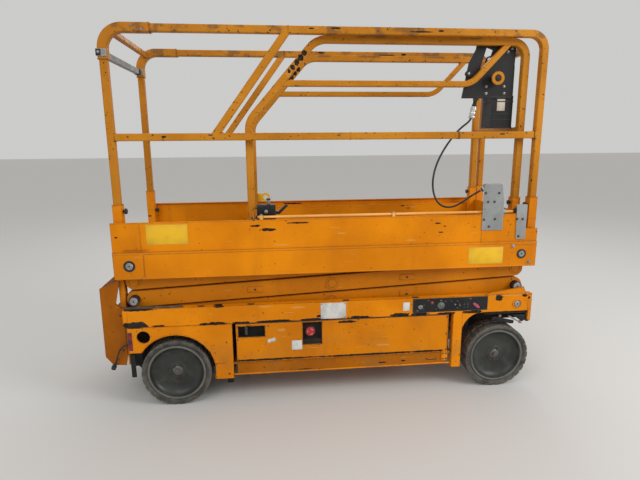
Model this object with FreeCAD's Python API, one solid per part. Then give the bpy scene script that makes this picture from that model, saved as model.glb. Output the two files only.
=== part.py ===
"""Narrow electric scissor lift with a sliding deck extension, stowed.

Millimetres. X runs along the machine, with +X at the steered end; Y runs across it, with the near
side at -Y; Z is up. The origin is on the floor, at the middle of the overall length and width.
"""
import FreeCAD, Part
import math
import os

V = FreeCAD.Vector

# Overall
WIDTH = 810.0
LENGTH = 2431.0
HALF_W = WIDTH / 2
HALF_L = LENGTH / 2
RUN = 0.05           # radial clearance of a pin in its bore
SEAT = 0.3           # gap between faces that slide or roll on each other

# Wheels
TYRE_D = 381.0
TYRE_W = 127.0
TYRE_BASE_R = 150.0
RIM_EDGE_R = 157.0
RIM_WALL = 7.0
DISC_DEPTH = 42.0    # how far the disc lies in from the wheel's outer face
DISC_T = 10.0
HUB_R = 47.0
STUB_R = 25.0
STUB_TIP = 36.0      # from the wheel's outer face in to the end of the stub axle
AXLE_BACK = 380.5    # from the ladder's rear end to the rear axle
WHEEL_R = TYRE_D / 2
FRONT_X = HALF_L - WHEEL_R
REAR_X = AXLE_BACK - HALF_L
WHEEL_IN = HALF_W - TYRE_W

# Chassis
CH_REAR = 118.5 - HALF_L
CH_FRONT = HALF_L - 2.5
BEAM_LOW = 470.0
BEAM_TOP = 573.0
BEAM_T = 40.0
BEAM_IN = HALF_W - BEAM_T
SKIN = 8.0           # plate of the arch panels and bulkheads
SKIN_OUT = HALF_W - 4.0
TOP_PLATE = (452.0, 460.0)
TOP_FLANGE = 8.0     # upright strips that weld the top plate to the beams
ARCH_R = 215.0
ARCH_Z = 200.0
ARCH_REAR = REAR_X - 245
ARCH_FRONT = REAR_X + 315
ARCH_LOW_REAR = 320.0
ARCH_LOW_FRONT = 141.0
TIE_HOLE_X = REAR_X - 163
TIE_HOLE_Z = 411.0
TIE_HOLE_R = 35.0
PILLAR = (FRONT_X - 281, FRONT_X - 226)
PILLAR_LOW = 136.0
WELL_TURN_Z = 320.0
WELL_TOP_X = FRONT_X - 100
FLOOR_Z = (225.0, 235.0)
SILL = (HALF_W - 17, HALF_W - 7)
SILL_LOW = 160.0
SPINE_HALF = HALF_W - 300
BAY_FRONT = PILLAR[0] - 4
BAY_REAR = ARCH_FRONT - 8
HOUSING_HALF = HALF_W - 149
HOUSING_LOW = 150.0
HOUSING_CHAMFER = 40.0
AXLE_FLANGE_R = 70.0
FRONT_PLATE = 18.0       # depth of the front end pieces along X
DROP_LOW = 410.0         # underside of the front drop brackets
TAIL_LOW = 240.0         # underside of the rear end plate
GUSSET = ((FRONT_X - 100, BEAM_TOP), (FRONT_X + 153, BEAM_TOP), (FRONT_X + 135, BEAM_TOP + 42),
          (FRONT_X + 95, BEAM_TOP + 36), (FRONT_X - 65, BEAM_TOP + 13))
GUSSET_Y = (HALF_W - 10, HALF_W - 2)
GROUND_X = (FRONT_X - 524, FRONT_X - 80)
GROUND_Z = (485.0, 568.0)
GROUND_T = 5.0

# Ladder
LADDER_Y = (HALF_W - 43, HALF_W - 35)
LADDER_OUTLINE = ((3.5 - HALF_L, 686), (-HALF_L, 294), (38.5 - HALF_L, 244), (CH_REAR - 13, 240),
                  (CH_REAR, 300), (CH_REAR, 560), (CH_REAR - 38, 600), (CH_REAR - 8, 728))
TREAD_TOPS = (312.0, 502.0)
TREAD_T = 22.0
TREAD_X = (6 - HALF_L, CH_REAR - 23)
TOP_TREAD = ((6.5 - HALF_L, 664), (8.5 - HALF_L, 684), (CH_REAR - 15, 722), (CH_REAR - 20, 702))

# Steering
KING_Y = WHEEL_IN - 30
KING_R = 14.0
AXLE_HALF = 40.0     # half the front axle's width along X
AXLE_Z = (128.0, 253.0)
YOKE_T = 15.0
YOKE_R = 22.0
PEDESTAL_HALF = KING_Y - 118
STEER_ARM = 110.0
TIE_PIN_R = 8.0
ARM_PLATE_Z = (152.0, 166.0)
TIE_EYE_Z = (167.0, 185.0)
TIE_EYE_R = 16.0
TIE_ROD_R = 10.0

# Swing-out trays
TRAY_HINGE_X = PILLAR[0] - 38
TRAY_HINGE_Y = HALF_W - 20
HINGE_R = 8.0
HINGE_TUBE_R = 14.0
DOOR_Z = (240.0, 464.0)
DOOR_X = (ARCH_FRONT + 21, PILLAR[0] - 30)
TRAY_X = (DOOR_X[0] + 29, DOOR_X[1] - 24)
TRAY_LONG = TRAY_X[1] - TRAY_X[0]
TRAY_IN = SPINE_HALF + 15
TRAY_FLOOR = (243.0, 248.0)
TRAY_LIP = 55.0
HAND_HOLE_X = (DOOR_X[0] + 11, DOOR_X[0] + 159)
HAND_HOLE_Z = (386.0, 450.0)
STOP_X = (DOOR_X[0] + 369, DOOR_X[0] + 478)
STOP_Z = (326.0, 458.0)
STOP_DEPTH = 24.0
STOP_AT = (STOP_X[0] + 44, 399.0)
STOP_R = 27.0
LOAD_TOP = 440.0
BATTERY_PITCH = (TRAY_LONG - 112) / 4
BATTERY = (BATTERY_PITCH - 12, 180.0)     # length and width
BATTERY_LID = 30.0
LOAD_IN = 30.0               # from the tray's inner wall to the batteries and the power unit
TANK_X = (TRAY_X[0] + 50, TRAY_X[0] + 50 + TRAY_LONG * 9 / 29)
TANK_W = 190.0
MOTOR_R = 70.0
MOTOR_AT = (125.0, 350.0)    # out from the tray's inner edge, and height
VALVES_X = (TRAY_X[1] - TRAY_LONG * 45 / 116, TRAY_X[1] - 130)
MOTOR_X = (TANK_X[1] - 2, VALVES_X[0])
VALVES_W = 150.0
VALVES_TOP = 400.0
UNIT_BASE = (TANK_X[0], TRAY_X[1] - 90)

# Pothole guards, folded under the floor
GUARD_X = (DOOR_X[0] + 19, DOOR_X[1] - 14)
GUARD_HINGE_Y = HALF_W - 33
GUARD_HINGE_Z = 214.0
GUARD_IN = GUARD_HINGE_Y - 167
GUARD_T = 4.0
GUARD_TUBE_R = 7.0
GUARD_PIN_R = 4.0

# Scissor stack
ARM_RISE = 100.0     # rise of each stowed arm between its end pins
STAGES = 3
PIN_X = FRONT_X + 100
ROLLER_X = REAR_X - 200
PIN_Z = 514.0
ARM_H = 90.0
PIN_R = 25.0
OUTER_Y = (HALF_W - 95, HALF_W - 55)
INNER_Y = (OUTER_Y[0] - 48, OUTER_Y[0] - 8)
ROLLER_R = 35.0
TUBE_R = 28.0
LIFT_PIN_R = 25.0
LIFT_FOOT_SHARE = 0.86   # place of the cylinder's foot along the lowest inner arms, from the front pin
LIFT_HEAD_SHARE = 0.44   # place of its rod eye along the next inner arms
BARREL_FROM = 50.0
BARREL_TO = 760.0
ROD_TAIL = 130.0
BARREL_R = 45.0
LIFT_ROD_R = 25.0
LIFT_EYE_R = 42.0
LIFT_EYE_W = 56.0
# Cross tubes of the inner arms: share of the way from the front pin, for each stage
TUBE_SHARES = {1: (0.12, 0.94), 2: (0.06, 0.94), 3: (0.06, 0.55, 0.94)}

# Platform
PF_REAR = 98.5 - HALF_L
PF_FRONT = HALF_L - 2.5
PF_LOW = 742.0
DECK = (875.0, 885.0)
CHANNEL_WEB = 10.0
CHANNEL_LIP = 8.0
TRACK_IN = OUTER_Y[0] - 4
TRACK_END = 70.0     # front end of the roller tracks
CROSS_Z = 866.0      # underside of the cross members
CROSS_PITCH = (HALF_L - 315.5) / 2
CROSS_MEMBERS = tuple(CROSS_PITCH * step for step in range(-2, 3))
CROSS_HALF = 38.0
TOE_TOP = 1042.0
TOE_OUT = HALF_W - 6
TOE_T = 5.0
TOE_FRONT = PF_FRONT - 70
TOE_FRONT_TOP = 960.0
RAIL = 38.0
RAIL_EDGE_R = 6.0
RAIL_Y = TOE_OUT - 49
RAIL_TOP = 1998.0
RAIL_MID = 1476.0
REAR_POST_X = PF_REAR + 36
REAR_BEND = 100.0
FRONT_BEND = 80.0
BRACE_TOP_X = REAR_POST_X + 901
BRACE_LOW_X = REAR_POST_X + 511
SOCKET_WALL = 4.0
SOCKET_HALF = RAIL / 2 + SEAT + SOCKET_WALL
FRONT_POST_X = PF_FRONT - SOCKET_HALF
SOCKET_TOP = 1133.0
GATE_BAR_Z = RAIL_TOP - 118
GATE_CLIP = 4.0
REAR_RAIL = 30.0
REAR_RAIL_TURN = 35.0    # degrees round the rear bend where the rear cross bar sits
SLEEVE = 46.0
SLEEVE_LOW = RAIL_TOP - 150
SLEEVE_END_X = REAR_POST_X + 230
TOE_LIP = (16.0, 4.0)    # width and thickness of the folded top of the toe boards

# Sliding extension
SLIDE_RAIL_Y = RAIL_Y - 52
SLIDE_POST_X = PF_REAR + 724
SLIDE_FRONT_X = PF_FRONT - 98
EXT_REAR = SLIDE_POST_X - 32
EXT_DECK = (893.0, 899.0)
EXT_LIP_TOP = 1010.0
EXT_TOE_TOP = 1040.0
SLIDE_TOP = 1966.0
SLIDE_SECOND = 1747.0
EXT_FRONT = SLIDE_FRONT_X + SOCKET_HALF
SLIDE_LEAN_Z = 1553.0
SLIDE_LEAN_X = SLIDE_POST_X + 363
SLIDE_BEND = 120.0
SECOND_TURN_X = SLIDE_FRONT_X - 300
SECOND_END_X = SLIDE_FRONT_X - 93
SECOND_RAIL = 32.0
GATE_MID = 1500.0
EXT_STRIP = (SLIDE_RAIL_Y - 48, SLIDE_RAIL_Y - 8)
EXT_SOCKETS = ((SLIDE_POST_X, 1030.0), (SLIDE_FRONT_X, 1126.0))

# Guide plates and rod on the near toe board
LARGE_GUIDE = ((PF_FRONT - 331, 955), (PF_FRONT - 211, 955), (PF_FRONT - 211, 1120),
               (PF_FRONT - 228, 1213), (PF_FRONT - 323, 1213), (PF_FRONT - 331, 1190))
LARGE_GUIDE_CAP = (PF_FRONT - 323, PF_FRONT - 228)
SMALL_GUIDE = ((PF_FRONT - 127, 900), (PF_FRONT - 73, 900), (PF_FRONT - 73, 1094),
               (PF_FRONT - 133, 1094))
SMALL_GUIDE_CAP = (PF_FRONT - 133, PF_FRONT - 73)
GUIDE_CAP = (25.0, 5.0)      # how far the plates' folded tops reach in, and their thickness
GUIDE_GLAND = 34.0
GUIDE_SEAT = ((PF_FRONT - 325, PF_FRONT - 297), (1178.0, 1209.0))
GUIDE_ROD_X = (SLIDE_POST_X + 28, PF_FRONT - 79)
GUIDE_ROD_YZ = (15 - TOE_OUT, TOE_TOP + 14)
GUIDE_ROD_R = 7.0
GUIDE_FEET = (GUIDE_ROD_X[0] + 25, GUIDE_ROD_X[0] + 745, GUIDE_ROD_X[1] - 29)
GUIDE_FOOT = 20.0

# Foot latch of the extension
LATCH_X = (SLIDE_POST_X + 28, SLIDE_POST_X + 131)
LATCH_W = 40.0
LATCH_TOP = 1112.0
PEDAL = ((SLIDE_POST_X + 93, 1060), (SLIDE_POST_X + 153, 1060), (SLIDE_POST_X + 198, 1104),
         (SLIDE_POST_X + 188, 1112), (SLIDE_POST_X + 148, 1075), (SLIDE_POST_X + 93, 1075))
PEDAL_Y = (4.0, 36.0)        # in from the socket's outer face

# Platform controls
BRACKET = ((SLIDE_FRONT_X - 341, 1675), (SLIDE_FRONT_X - 53, 1676), (SLIDE_FRONT_X - 43, 1984),
           (SLIDE_FRONT_X - 265, 1984), (SLIDE_FRONT_X - 273, 1930), (SLIDE_FRONT_X - 309, 1862))
BRACKET_T = 5.0
BRACKET_SLOT = ((SLIDE_FRONT_X - 245, 1826), (SLIDE_FRONT_X - 210, 1818), (SLIDE_FRONT_X - 178, 1928),
                (SLIDE_FRONT_X - 213, 1940))
GLAND_TAB = (-15.0, 11.0)
GLAND_TAB_Z = (1664.0, 1680.0)
GLAND_RUN = 70.0
BOX_X = (SLIDE_FRONT_X - 155, SLIDE_FRONT_X - 43)
BOX_Z = (1690.0, 1850.0)
BOX_DEEP = 150.0
MANUAL_X = (SLIDE_FRONT_X - 167, SLIDE_FRONT_X - 39)
MANUAL_LOW = 1515.0
MANUAL_DEEP = 110.0

# Cords
LEAD_D = 9.0
GROMMET_RUN = 16.0
# Charger lead from the grommet on the rear arch panel to its plug: x from the panel's rear edge,
# y in from the outer width, and height
LEAD_STEPS = ((0, 17, 371), (-26, 15, 364), (-48, 14, 345), (-62, 14, 315), (-71, 15, 285), (-83, 16, 258))
LEAD_ROUTE = [(ARCH_REAR + x, y - HALF_W, z) for x, y, z in LEAD_STEPS]
CABLE_D = 11.0
GLAND_R = 10.0
# Control cable from its gland under the bracket to the large guide plate: x from the extension's front
# posts, y in from its rails, and height
CABLE_STEPS = ((-264, 36, 1602), (-269, 36, 1572), (-287, 37, 1547), (-316, 38, 1526),
               (-351, 39, 1494), (-384, 39, 1452), (-415, 38, 1407), (-441, 37, 1360),
               (-462, 37, 1310), (-475, 36, 1258), (-479, 36, 1204), (-471, 35, 1150),
               (-448, 33, 1099), (-407, 24, 1071), (-359, 5, 1075), (-317, -20, 1106),
               (-279, -46, 1145), (-237, -70, 1176))
CABLE_ROUTE = [(SLIDE_FRONT_X + x, y - SLIDE_RAIL_Y, z) for x, y, z in CABLE_STEPS]


def block(x, y, z):
    """A box from three (low, high) pairs."""
    return Part.makeBox(x[1] - x[0], y[1] - y[0], z[1] - z[0], V(x[0], y[0], z[0]))


def rod_y(x, z, radius, y):
    """A round bar along Y."""
    return Part.makeCylinder(radius, y[1] - y[0], V(x, y[0], z), V(0, 1, 0))


def rod_z(x, y, radius, z):
    """A round bar along Z."""
    return Part.makeCylinder(radius, z[1] - z[0], V(x, y, z[0]), V(0, 0, 1))


def rod_x(y, z, radius, x):
    """A round bar along X."""
    return Part.makeCylinder(radius, x[1] - x[0], V(x[0], y, z), V(1, 0, 0))


def join(shapes):
    """One solid from pieces that are welded together."""
    return shapes[0].multiFuse(shapes[1:]).removeSplitter()


def side_plate(outline, y):
    """A plate that stands along the machine, from its (x, z) outline."""
    points = [V(px, y[0], pz) for px, pz in outline]
    return Part.Face(Part.makePolygon(points + points[:1])).extrude(V(0, y[1] - y[0], 0))


def across(shape):
    """The same piece on the far side."""
    return shape.mirror(V(0, 0, 0), V(0, 1, 0))


def far_y(y):
    """A (low, high) pair of the near side, given by distances from the middle."""
    return (-y[1], -y[0])


def bent_path(points, bends):
    """A wire of straight runs with an arc of the given radius at each inner point."""
    edges = []
    start = points[0]
    for corner, after, radius in zip(points[1:-1], points[2:], bends):
        before = (start - corner).normalize()
        ahead = (after - corner).normalize()
        half = before.getAngle(ahead) / 2
        reach = radius / math.tan(half)
        first = corner + before * reach
        last = corner + ahead * reach
        middle_way = (before + ahead).normalize()
        middle = corner + middle_way * (radius / math.sin(half) - radius)
        edges.append(Part.LineSegment(start, first).toShape())
        edges.append(Part.Arc(first, middle, last).toShape())
        start = last
    edges.append(Part.LineSegment(start, points[-1]).toShape())
    return Part.Wire(edges)


def square_section(centre, along, size):
    """A rounded square, square to the direction it will be swept along, upright in Y."""
    side_way = V(0, 1, 0)
    other = along.cross(side_way).normalize()
    flat = size / 2 - RAIL_EDGE_R
    edges = []
    corners = []
    for a, b in ((1, 1), (-1, 1), (-1, -1), (1, -1)):
        corners.append(centre + side_way * (a * flat) + other * (b * flat))
    directions = ((side_way, other), (other, side_way * -1), (side_way * -1, other * -1), (other * -1, side_way))
    ends = []
    for corner, (one, two) in zip(corners, directions):
        half_way = (one + two).normalize()
        first = corner + one * RAIL_EDGE_R
        middle = corner + half_way * RAIL_EDGE_R
        last = corner + two * RAIL_EDGE_R
        ends.append((first, middle, last))
    for index, (first, middle, last) in enumerate(ends):
        edges.append(Part.Arc(first, middle, last).toShape())
        edges.append(Part.LineSegment(last, ends[(index + 1) % 4][0]).toShape())
    return Part.Wire(edges)


def square_tube(points, bends=(), size=RAIL):
    """A rounded square tube, closed at its ends, along points in a plane of constant Y or along Y."""
    path = bent_path(points, bends)
    along = (points[1] - points[0]).normalize()
    return path.makePipeShell([square_section(points[0], along, size)], True, False)


def rail_path(y, places):
    """Points of a rail frame that stands along the machine."""
    return [V(px, y, pz) for px, pz in places]


def cross_bar(x, z, half, size=RAIL):
    """A rounded square tube across the machine."""
    bar = block((x - size / 2, x + size / 2), (-half, half), (z - size / 2, z + size / 2))
    edges = [e for e in bar.Edges if abs(e.Length - 2 * half) < 0.01]
    return bar.makeFillet(RAIL_EDGE_R, edges)


def turned(profile, x, y_face, z, side):
    """A wheel's revolved piece: profile holds (radius, depth in from the outer face) pairs."""
    points = [V(x + radius, y_face - side * depth, z) for radius, depth in profile]
    face = Part.Face(Part.makePolygon(points + points[:1]))
    return face.revolve(V(x, y_face, z), V(0, 1, 0), 360)


def tyre(x, side):
    """Solid rubber tyre with shallow blocks on its shoulders."""
    shoulder = 9.0
    profile = [
        (TYRE_BASE_R, 6.0), (RIM_EDGE_R + 1.5, 6.0), (WHEEL_R - shoulder - 3, 0.0), (WHEEL_R - 3, shoulder),
        (WHEEL_R, 26.0), (WHEEL_R, TYRE_W - 26.0), (WHEEL_R - 3, TYRE_W - shoulder),
        (WHEEL_R - shoulder - 3, TYRE_W), (RIM_EDGE_R + 1.5, TYRE_W - 6.0), (TYRE_BASE_R, TYRE_W - 6.0)]
    return turned(profile, x, side * HALF_W, WHEEL_R, side)


def rim(x, side):
    """Dished steel wheel with a hub that is bored from its inner side."""
    inner = TYRE_BASE_R - RIM_WALL
    disc_back = DISC_DEPTH + DISC_T
    profile = [
        (0.0, STUB_TIP - 14.0), (HUB_R - 12, STUB_TIP - 14.0), (HUB_R - 6, DISC_DEPTH - 4.0),
        (inner - 20, DISC_DEPTH), (inner, DISC_DEPTH - 14.0), (inner, 7.0), (TYRE_BASE_R, 6.0),
        (TYRE_BASE_R, TYRE_W - 6.0), (inner, TYRE_W - 7.0), (inner, disc_back),
        (HUB_R, disc_back), (HUB_R, TYRE_W - 8.0), (STUB_R + RUN, TYRE_W - 8.0),
        (STUB_R + RUN, STUB_TIP - 1.0), (0.0, STUB_TIP - 1.0)]
    return turned(profile, x, side * HALF_W, WHEEL_R, side)


def chassis_side(with_lead):
    """Near side of the chassis: box beam, rear arch panel, front pillar and drop bracket."""
    beam = block((CH_REAR, CH_FRONT), far_y((BEAM_IN, HALF_W)), (BEAM_LOW, BEAM_TOP))
    panel_y = far_y((SKIN_OUT - SKIN, SKIN_OUT))
    weld = BEAM_LOW + SKIN
    panel = side_plate(
        [(ARCH_REAR, weld), (ARCH_REAR, ARCH_LOW_REAR), (REAR_X, ARCH_LOW_REAR), (REAR_X, ARCH_LOW_FRONT),
         (ARCH_FRONT, ARCH_LOW_FRONT), (ARCH_FRONT, weld)], panel_y)
    arch = rod_y(REAR_X, ARCH_Z, ARCH_R, far_y((SKIN_OUT - 2 * SKIN, HALF_W)))
    leg_gap = block((REAR_X, REAR_X + ARCH_R), panel_y, (ARCH_LOW_FRONT, ARCH_Z))
    hole = rod_y(TIE_HOLE_X, TIE_HOLE_Z, TIE_HOLE_R, far_y((SKIN_OUT - 2 * SKIN, HALF_W)))
    panel = panel.cut(arch).cut(leg_gap).cut(hole)
    pillar = block(PILLAR, far_y((BEAM_IN, HALF_W)), (PILLAR_LOW, weld))
    fillet_r = WELL_TOP_X - PILLAR[1]
    corner = block((PILLAR[1] - 1, WELL_TOP_X), panel_y, (BEAM_LOW - fillet_r, weld))
    well = Part.makeCylinder(fillet_r, 4 * SKIN, V(WELL_TOP_X, -HALF_W, BEAM_LOW - fillet_r), V(0, 1, 0))
    corner = corner.cut(well)
    drop = block((CH_FRONT - FRONT_PLATE, CH_FRONT), far_y((BEAM_IN, HALF_W)), (DROP_LOW, weld))
    parts = [beam, panel, pillar, corner, drop]
    if with_lead:
        start = V(*LEAD_ROUTE[0])
        back = (start - V(*LEAD_ROUTE[1])).normalize()
        parts.append(Part.makeCylinder(LEAD_D, GROMMET_RUN, start, back))
    side = join(parts)
    pin_hole = rod_y(PIN_X, PIN_Z, PIN_R + SEAT, far_y((BEAM_IN - 1, HALF_W + 1)))
    recess = block(GROUND_X, far_y((HALF_W - GROUND_T, HALF_W + 1)), GROUND_Z)
    return side.cut(pin_hole).cut(recess)


def front_gussets():
    """Gusset plates that stand on the beams at the front end."""
    near = side_plate(GUSSET, far_y(GUSSET_Y))
    return Part.makeCompound([near, across(near)])


def chassis_top():
    """Top plate with the roller tracks, end plates and the brackets of the lowest pins."""
    front = CH_FRONT - FRONT_PLATE
    flange_z = (TOP_PLATE[0], BEAM_LOW + 20)
    pieces = [block((CH_REAR, front), (-BEAM_IN, BEAM_IN), TOP_PLATE),
              block((CH_REAR, front), (BEAM_IN - TOP_FLANGE, BEAM_IN), flange_z),
              block((CH_REAR, front), (-BEAM_IN, TOP_FLANGE - BEAM_IN), flange_z),
              block((CH_REAR, CH_REAR + SKIN), (-BEAM_IN, BEAM_IN), (TAIL_LOW, BEAM_TOP)),
              block((front, CH_FRONT - SKIN), (-BEAM_IN, BEAM_IN), (DROP_LOW, BEAM_TOP - 5))]
    for side in (-1, 1):
        track_y = sorted((side * (INNER_Y[0] - 2), side * (INNER_Y[1] + 2)))
        pieces.append(block((CH_REAR + SKIN, TRACK_END), track_y, (TOP_PLATE[0] + 2, PIN_Z - ROLLER_R - SEAT)))
        lug_y = sorted((side * (INNER_Y[0] - 14), side * (INNER_Y[0] - 6)))
        pieces.append(block((PIN_X - 40, PIN_X + 40), lug_y, (TOP_PLATE[0] + 2, PIN_Z + 40)))
        pin_y = sorted((side * (INNER_Y[0] - 14), side * (HALF_W - 1)))
        pieces.append(rod_y(PIN_X, PIN_Z, PIN_R, pin_y))
        sleeve_y = sorted((side * (INNER_Y[1] + 2), side * (BEAM_IN - 2)))
        pieces.append(rod_y(PIN_X, PIN_Z, PIN_R + 7, sleeve_y))
    plate = join(pieces)
    for side in (-1, 1):
        near_hinge = sorted((side * (BEAM_IN - 15), side * (BEAM_IN + 5)))
        plate = plate.cut(block((DOOR_X[1] - 24, PILLAR[0] - 4), near_hinge, (TOP_PLATE[0] - 1, BEAM_LOW - 1)))
    return plate


def chassis_tub():
    """Floor, spine, sills and bulkheads of the tray bays, with the tray and guard hinge pins."""
    pieces = [block((ARCH_FRONT, BAY_FRONT), (-SILL[1], SILL[1]), FLOOR_Z),
              block((BAY_REAR, BAY_FRONT), (-SPINE_HALF, SPINE_HALF), (FLOOR_Z[1] - 1, TOP_PLATE[0])),
              block((BAY_FRONT - SKIN, BAY_FRONT), (-BEAM_IN + 10, BEAM_IN - 10), (FLOOR_Z[1] - 1, TOP_PLATE[0])),
              block((BAY_REAR, ARCH_FRONT), (-SILL[0], SILL[0]), (FLOOR_Z[0], TOP_PLATE[0]))]
    for side in (-1, 1):
        sill_y = sorted((side * SILL[0], side * SILL[1]))
        pieces.append(block((DOOR_X[0], BAY_FRONT - 25), sill_y, (SILL_LOW, FLOOR_Z[0] + 1)))
        pieces.append(rod_z(TRAY_HINGE_X, side * TRAY_HINGE_Y, HINGE_R, (FLOOR_Z[1] - 1, BEAM_LOW)))
        for end, way in ((GUARD_X[0], -1), (GUARD_X[1], 1)):
            lug_x = sorted((end + way * 6, end + way * 12))
            lug_y = sorted((side * (GUARD_HINGE_Y - 12), side * (GUARD_HINGE_Y + 12)))
            pieces.append(block(lug_x, lug_y, (GUARD_HINGE_Z - 12, FLOOR_Z[0] + 1)))
            pin_x = sorted((end + way * 7, end - way * 24))
            pieces.append(rod_x(side * GUARD_HINGE_Y, GUARD_HINGE_Z, GUARD_PIN_R, pin_x))
    return join(pieces)


def rear_housing():
    """Closed housing between the rear wheels, with the rear stub axles."""
    body = block((CH_REAR + SKIN, BAY_REAR), (-HOUSING_HALF, HOUSING_HALF), (HOUSING_LOW, TOP_PLATE[0]))
    lower = [e for e in body.Edges if abs(e.Length - 2 * HOUSING_HALF) < 0.01
             and abs(e.CenterOfMass.z - HOUSING_LOW) < 0.01]
    body = body.makeChamfer(HOUSING_CHAMFER, lower)
    parts = [body]
    for side in (-1, 1):
        flange_y = sorted((side * (HOUSING_HALF - 1), side * (HOUSING_HALF + 12)))
        parts.append(rod_y(REAR_X, WHEEL_R, AXLE_FLANGE_R, flange_y))
        stub_y = sorted((side * (HOUSING_HALF - 1), side * (HALF_W - STUB_TIP)))
        parts.append(rod_y(REAR_X, WHEEL_R, STUB_R, stub_y))
    return join(parts)


def front_axle():
    """Front axle beam with its pedestal, yokes and kingpins."""
    beam_x = (FRONT_X - AXLE_HALF, FRONT_X + AXLE_HALF)
    parts = [block(beam_x, (-PEDESTAL_HALF, PEDESTAL_HALF), AXLE_Z),
             block((FRONT_X - AXLE_HALF - 25, FRONT_X + AXLE_HALF + 25), (-PEDESTAL_HALF, PEDESTAL_HALF), (AXLE_Z[1] - 1, TOP_PLATE[0]))]
    for side in (-1, 1):
        for low in (AXLE_Z[0], AXLE_Z[1] - YOKE_T):
            arm_y = sorted((side * (PEDESTAL_HALF - 5), side * KING_Y))
            parts.append(block((FRONT_X - YOKE_R, FRONT_X + YOKE_R), arm_y, (low, low + YOKE_T)))
            parts.append(rod_z(FRONT_X, side * KING_Y, YOKE_R, (low, low + YOKE_T)))
        parts.append(rod_z(FRONT_X, side * KING_Y, KING_R, (AXLE_Z[0] - 6, AXLE_Z[1] + 6)))
    return join(parts)


def knuckle(side):
    """Steering knuckle with its stub axle, steering arm and tie rod pin."""
    y = side * KING_Y
    body_z = (AXLE_Z[0] + YOKE_T + 1, AXLE_Z[1] - YOKE_T - 1)
    body = rod_z(FRONT_X, y, 27.0, body_z)
    stub = rod_y(FRONT_X, WHEEL_R, STUB_R, sorted((y, side * (HALF_W - STUB_TIP))))
    flange = rod_y(FRONT_X, WHEEL_R, 44.0, sorted((side * (KING_Y + 18), side * (KING_Y + 26))))
    arm = block((FRONT_X - STEER_ARM, FRONT_X), (y - 14, y + 14), ARM_PLATE_Z)
    arm_end = rod_z(FRONT_X - STEER_ARM, y, 14.0, ARM_PLATE_Z)
    pin = rod_z(FRONT_X - STEER_ARM, y, TIE_PIN_R, (ARM_PLATE_Z[1] - 1, TIE_EYE_Z[1] + 4))
    bore = rod_z(FRONT_X, y, KING_R + RUN, (AXLE_Z[0], AXLE_Z[1]))
    return join([body, stub, flange, arm, arm_end, pin]).cut(bore)


def tie_rod():
    """Tie rod between the two steering arms; its far eye has room for its pin."""
    x = FRONT_X - STEER_ARM
    eyes = [rod_z(x, side * KING_Y, TIE_EYE_R, TIE_EYE_Z) for side in (-1, 1)]
    middle = (TIE_EYE_Z[0] + TIE_EYE_Z[1]) / 2
    bar = rod_y(x, middle, TIE_ROD_R / 1.25, (-KING_Y, KING_Y))
    whole = join(eyes + [bar])
    for side, room in ((-1, RUN), (1, SEAT)):
        whole = whole.cut(rod_z(x, side * KING_Y, TIE_PIN_R + room, (TIE_EYE_Z[0] - 1, TIE_EYE_Z[1] + 1)))
    return whole


def door(with_stop):
    """Near door panel with its hinge tube and, if asked, the recess of the stop button."""
    panel = block(DOOR_X, far_y((HALF_W - SKIN, HALF_W)), DOOR_Z)
    hand_hole = block(HAND_HOLE_X, far_y((HALF_W - 2 * SKIN, HALF_W + 1)), HAND_HOLE_Z)
    panel = panel.cut(hand_hole)
    parts = [panel, rod_z(TRAY_HINGE_X, -TRAY_HINGE_Y, HINGE_TUBE_R, (TRAY_FLOOR[0], TOP_PLATE[0] - 8))]
    if with_stop:
        parts.append(block((STOP_X[0] - 4, STOP_X[1] + 4), far_y((HALF_W - STOP_DEPTH - 4, HALF_W - SKIN + 1)),
                           (STOP_Z[0] - 4, STOP_Z[1] + 4)))
    body = join(parts)
    body = body.cut(rod_z(TRAY_HINGE_X, -TRAY_HINGE_Y, HINGE_R + RUN, (TRAY_FLOOR[0] - 1, TOP_PLATE[0])))
    if with_stop:
        body = body.cut(block(STOP_X, far_y((HALF_W - STOP_DEPTH, HALF_W + 1)), STOP_Z))
    return body


def tray():
    """Near tray behind the door: floor, inner wall and rear wall."""
    y = far_y((TRAY_IN, HALF_W - SKIN))
    wall_z = (TRAY_FLOOR[0], TRAY_FLOOR[1] + TRAY_LIP)
    return join([block(TRAY_X, y, TRAY_FLOOR),
                 block(TRAY_X, far_y((TRAY_IN, TRAY_IN + 5)), wall_z),
                 block((TRAY_X[0], TRAY_X[0] + 5), y, wall_z)])


def stop_button():
    """Mushroom button in its recess on the near door."""
    x, z = STOP_AT
    base = -(HALF_W - STOP_DEPTH)
    collar = Part.makeCylinder(21.0, 9.0, V(x, base, z), V(0, -1, 0))
    head = Part.makeCylinder(STOP_R, 10.0, V(x, base - 9.0, z), V(0, -1, 0))
    head = head.makeFillet(3.5, [head.Edges[0], head.Edges[2]])
    return join([collar, head])


def batteries():
    """Four traction batteries on the near tray."""
    length, width = BATTERY
    low_y = TRAY_IN + LOAD_IN
    shoulder = LOAD_TOP - BATTERY_LID
    boxes = []
    for index in range(4):
        x = TRAY_X[0] + LOAD_IN + index * BATTERY_PITCH
        case = block((x, x + length), far_y((low_y, low_y + width)), (TRAY_FLOOR[1], shoulder))
        lid = block((x + 8, x + length - 8), far_y((low_y + 8, low_y + width - 8)), (shoulder - 1, LOAD_TOP))
        boxes.append(join([case, lid]))
    return Part.makeCompound(boxes)


def power_unit():
    """Hydraulic unit on the far tray: tank, motor and valve block as one plain mass."""
    low_y = TRAY_IN + LOAD_IN
    y = far_y((low_y, low_y + TANK_W))
    floor = TRAY_FLOOR[1]
    tank = block(TANK_X, y, (floor, LOAD_TOP))
    base = block(UNIT_BASE, y, (floor, floor + 20))
    motor = rod_x(-(TRAY_IN + MOTOR_AT[0]), MOTOR_AT[1], MOTOR_R, MOTOR_X)
    valves = block(VALVES_X, far_y((low_y + 20, low_y + 20 + VALVES_W)), (floor + 19, VALVES_TOP))
    return across(join([tank, base, motor, valves]))


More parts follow.
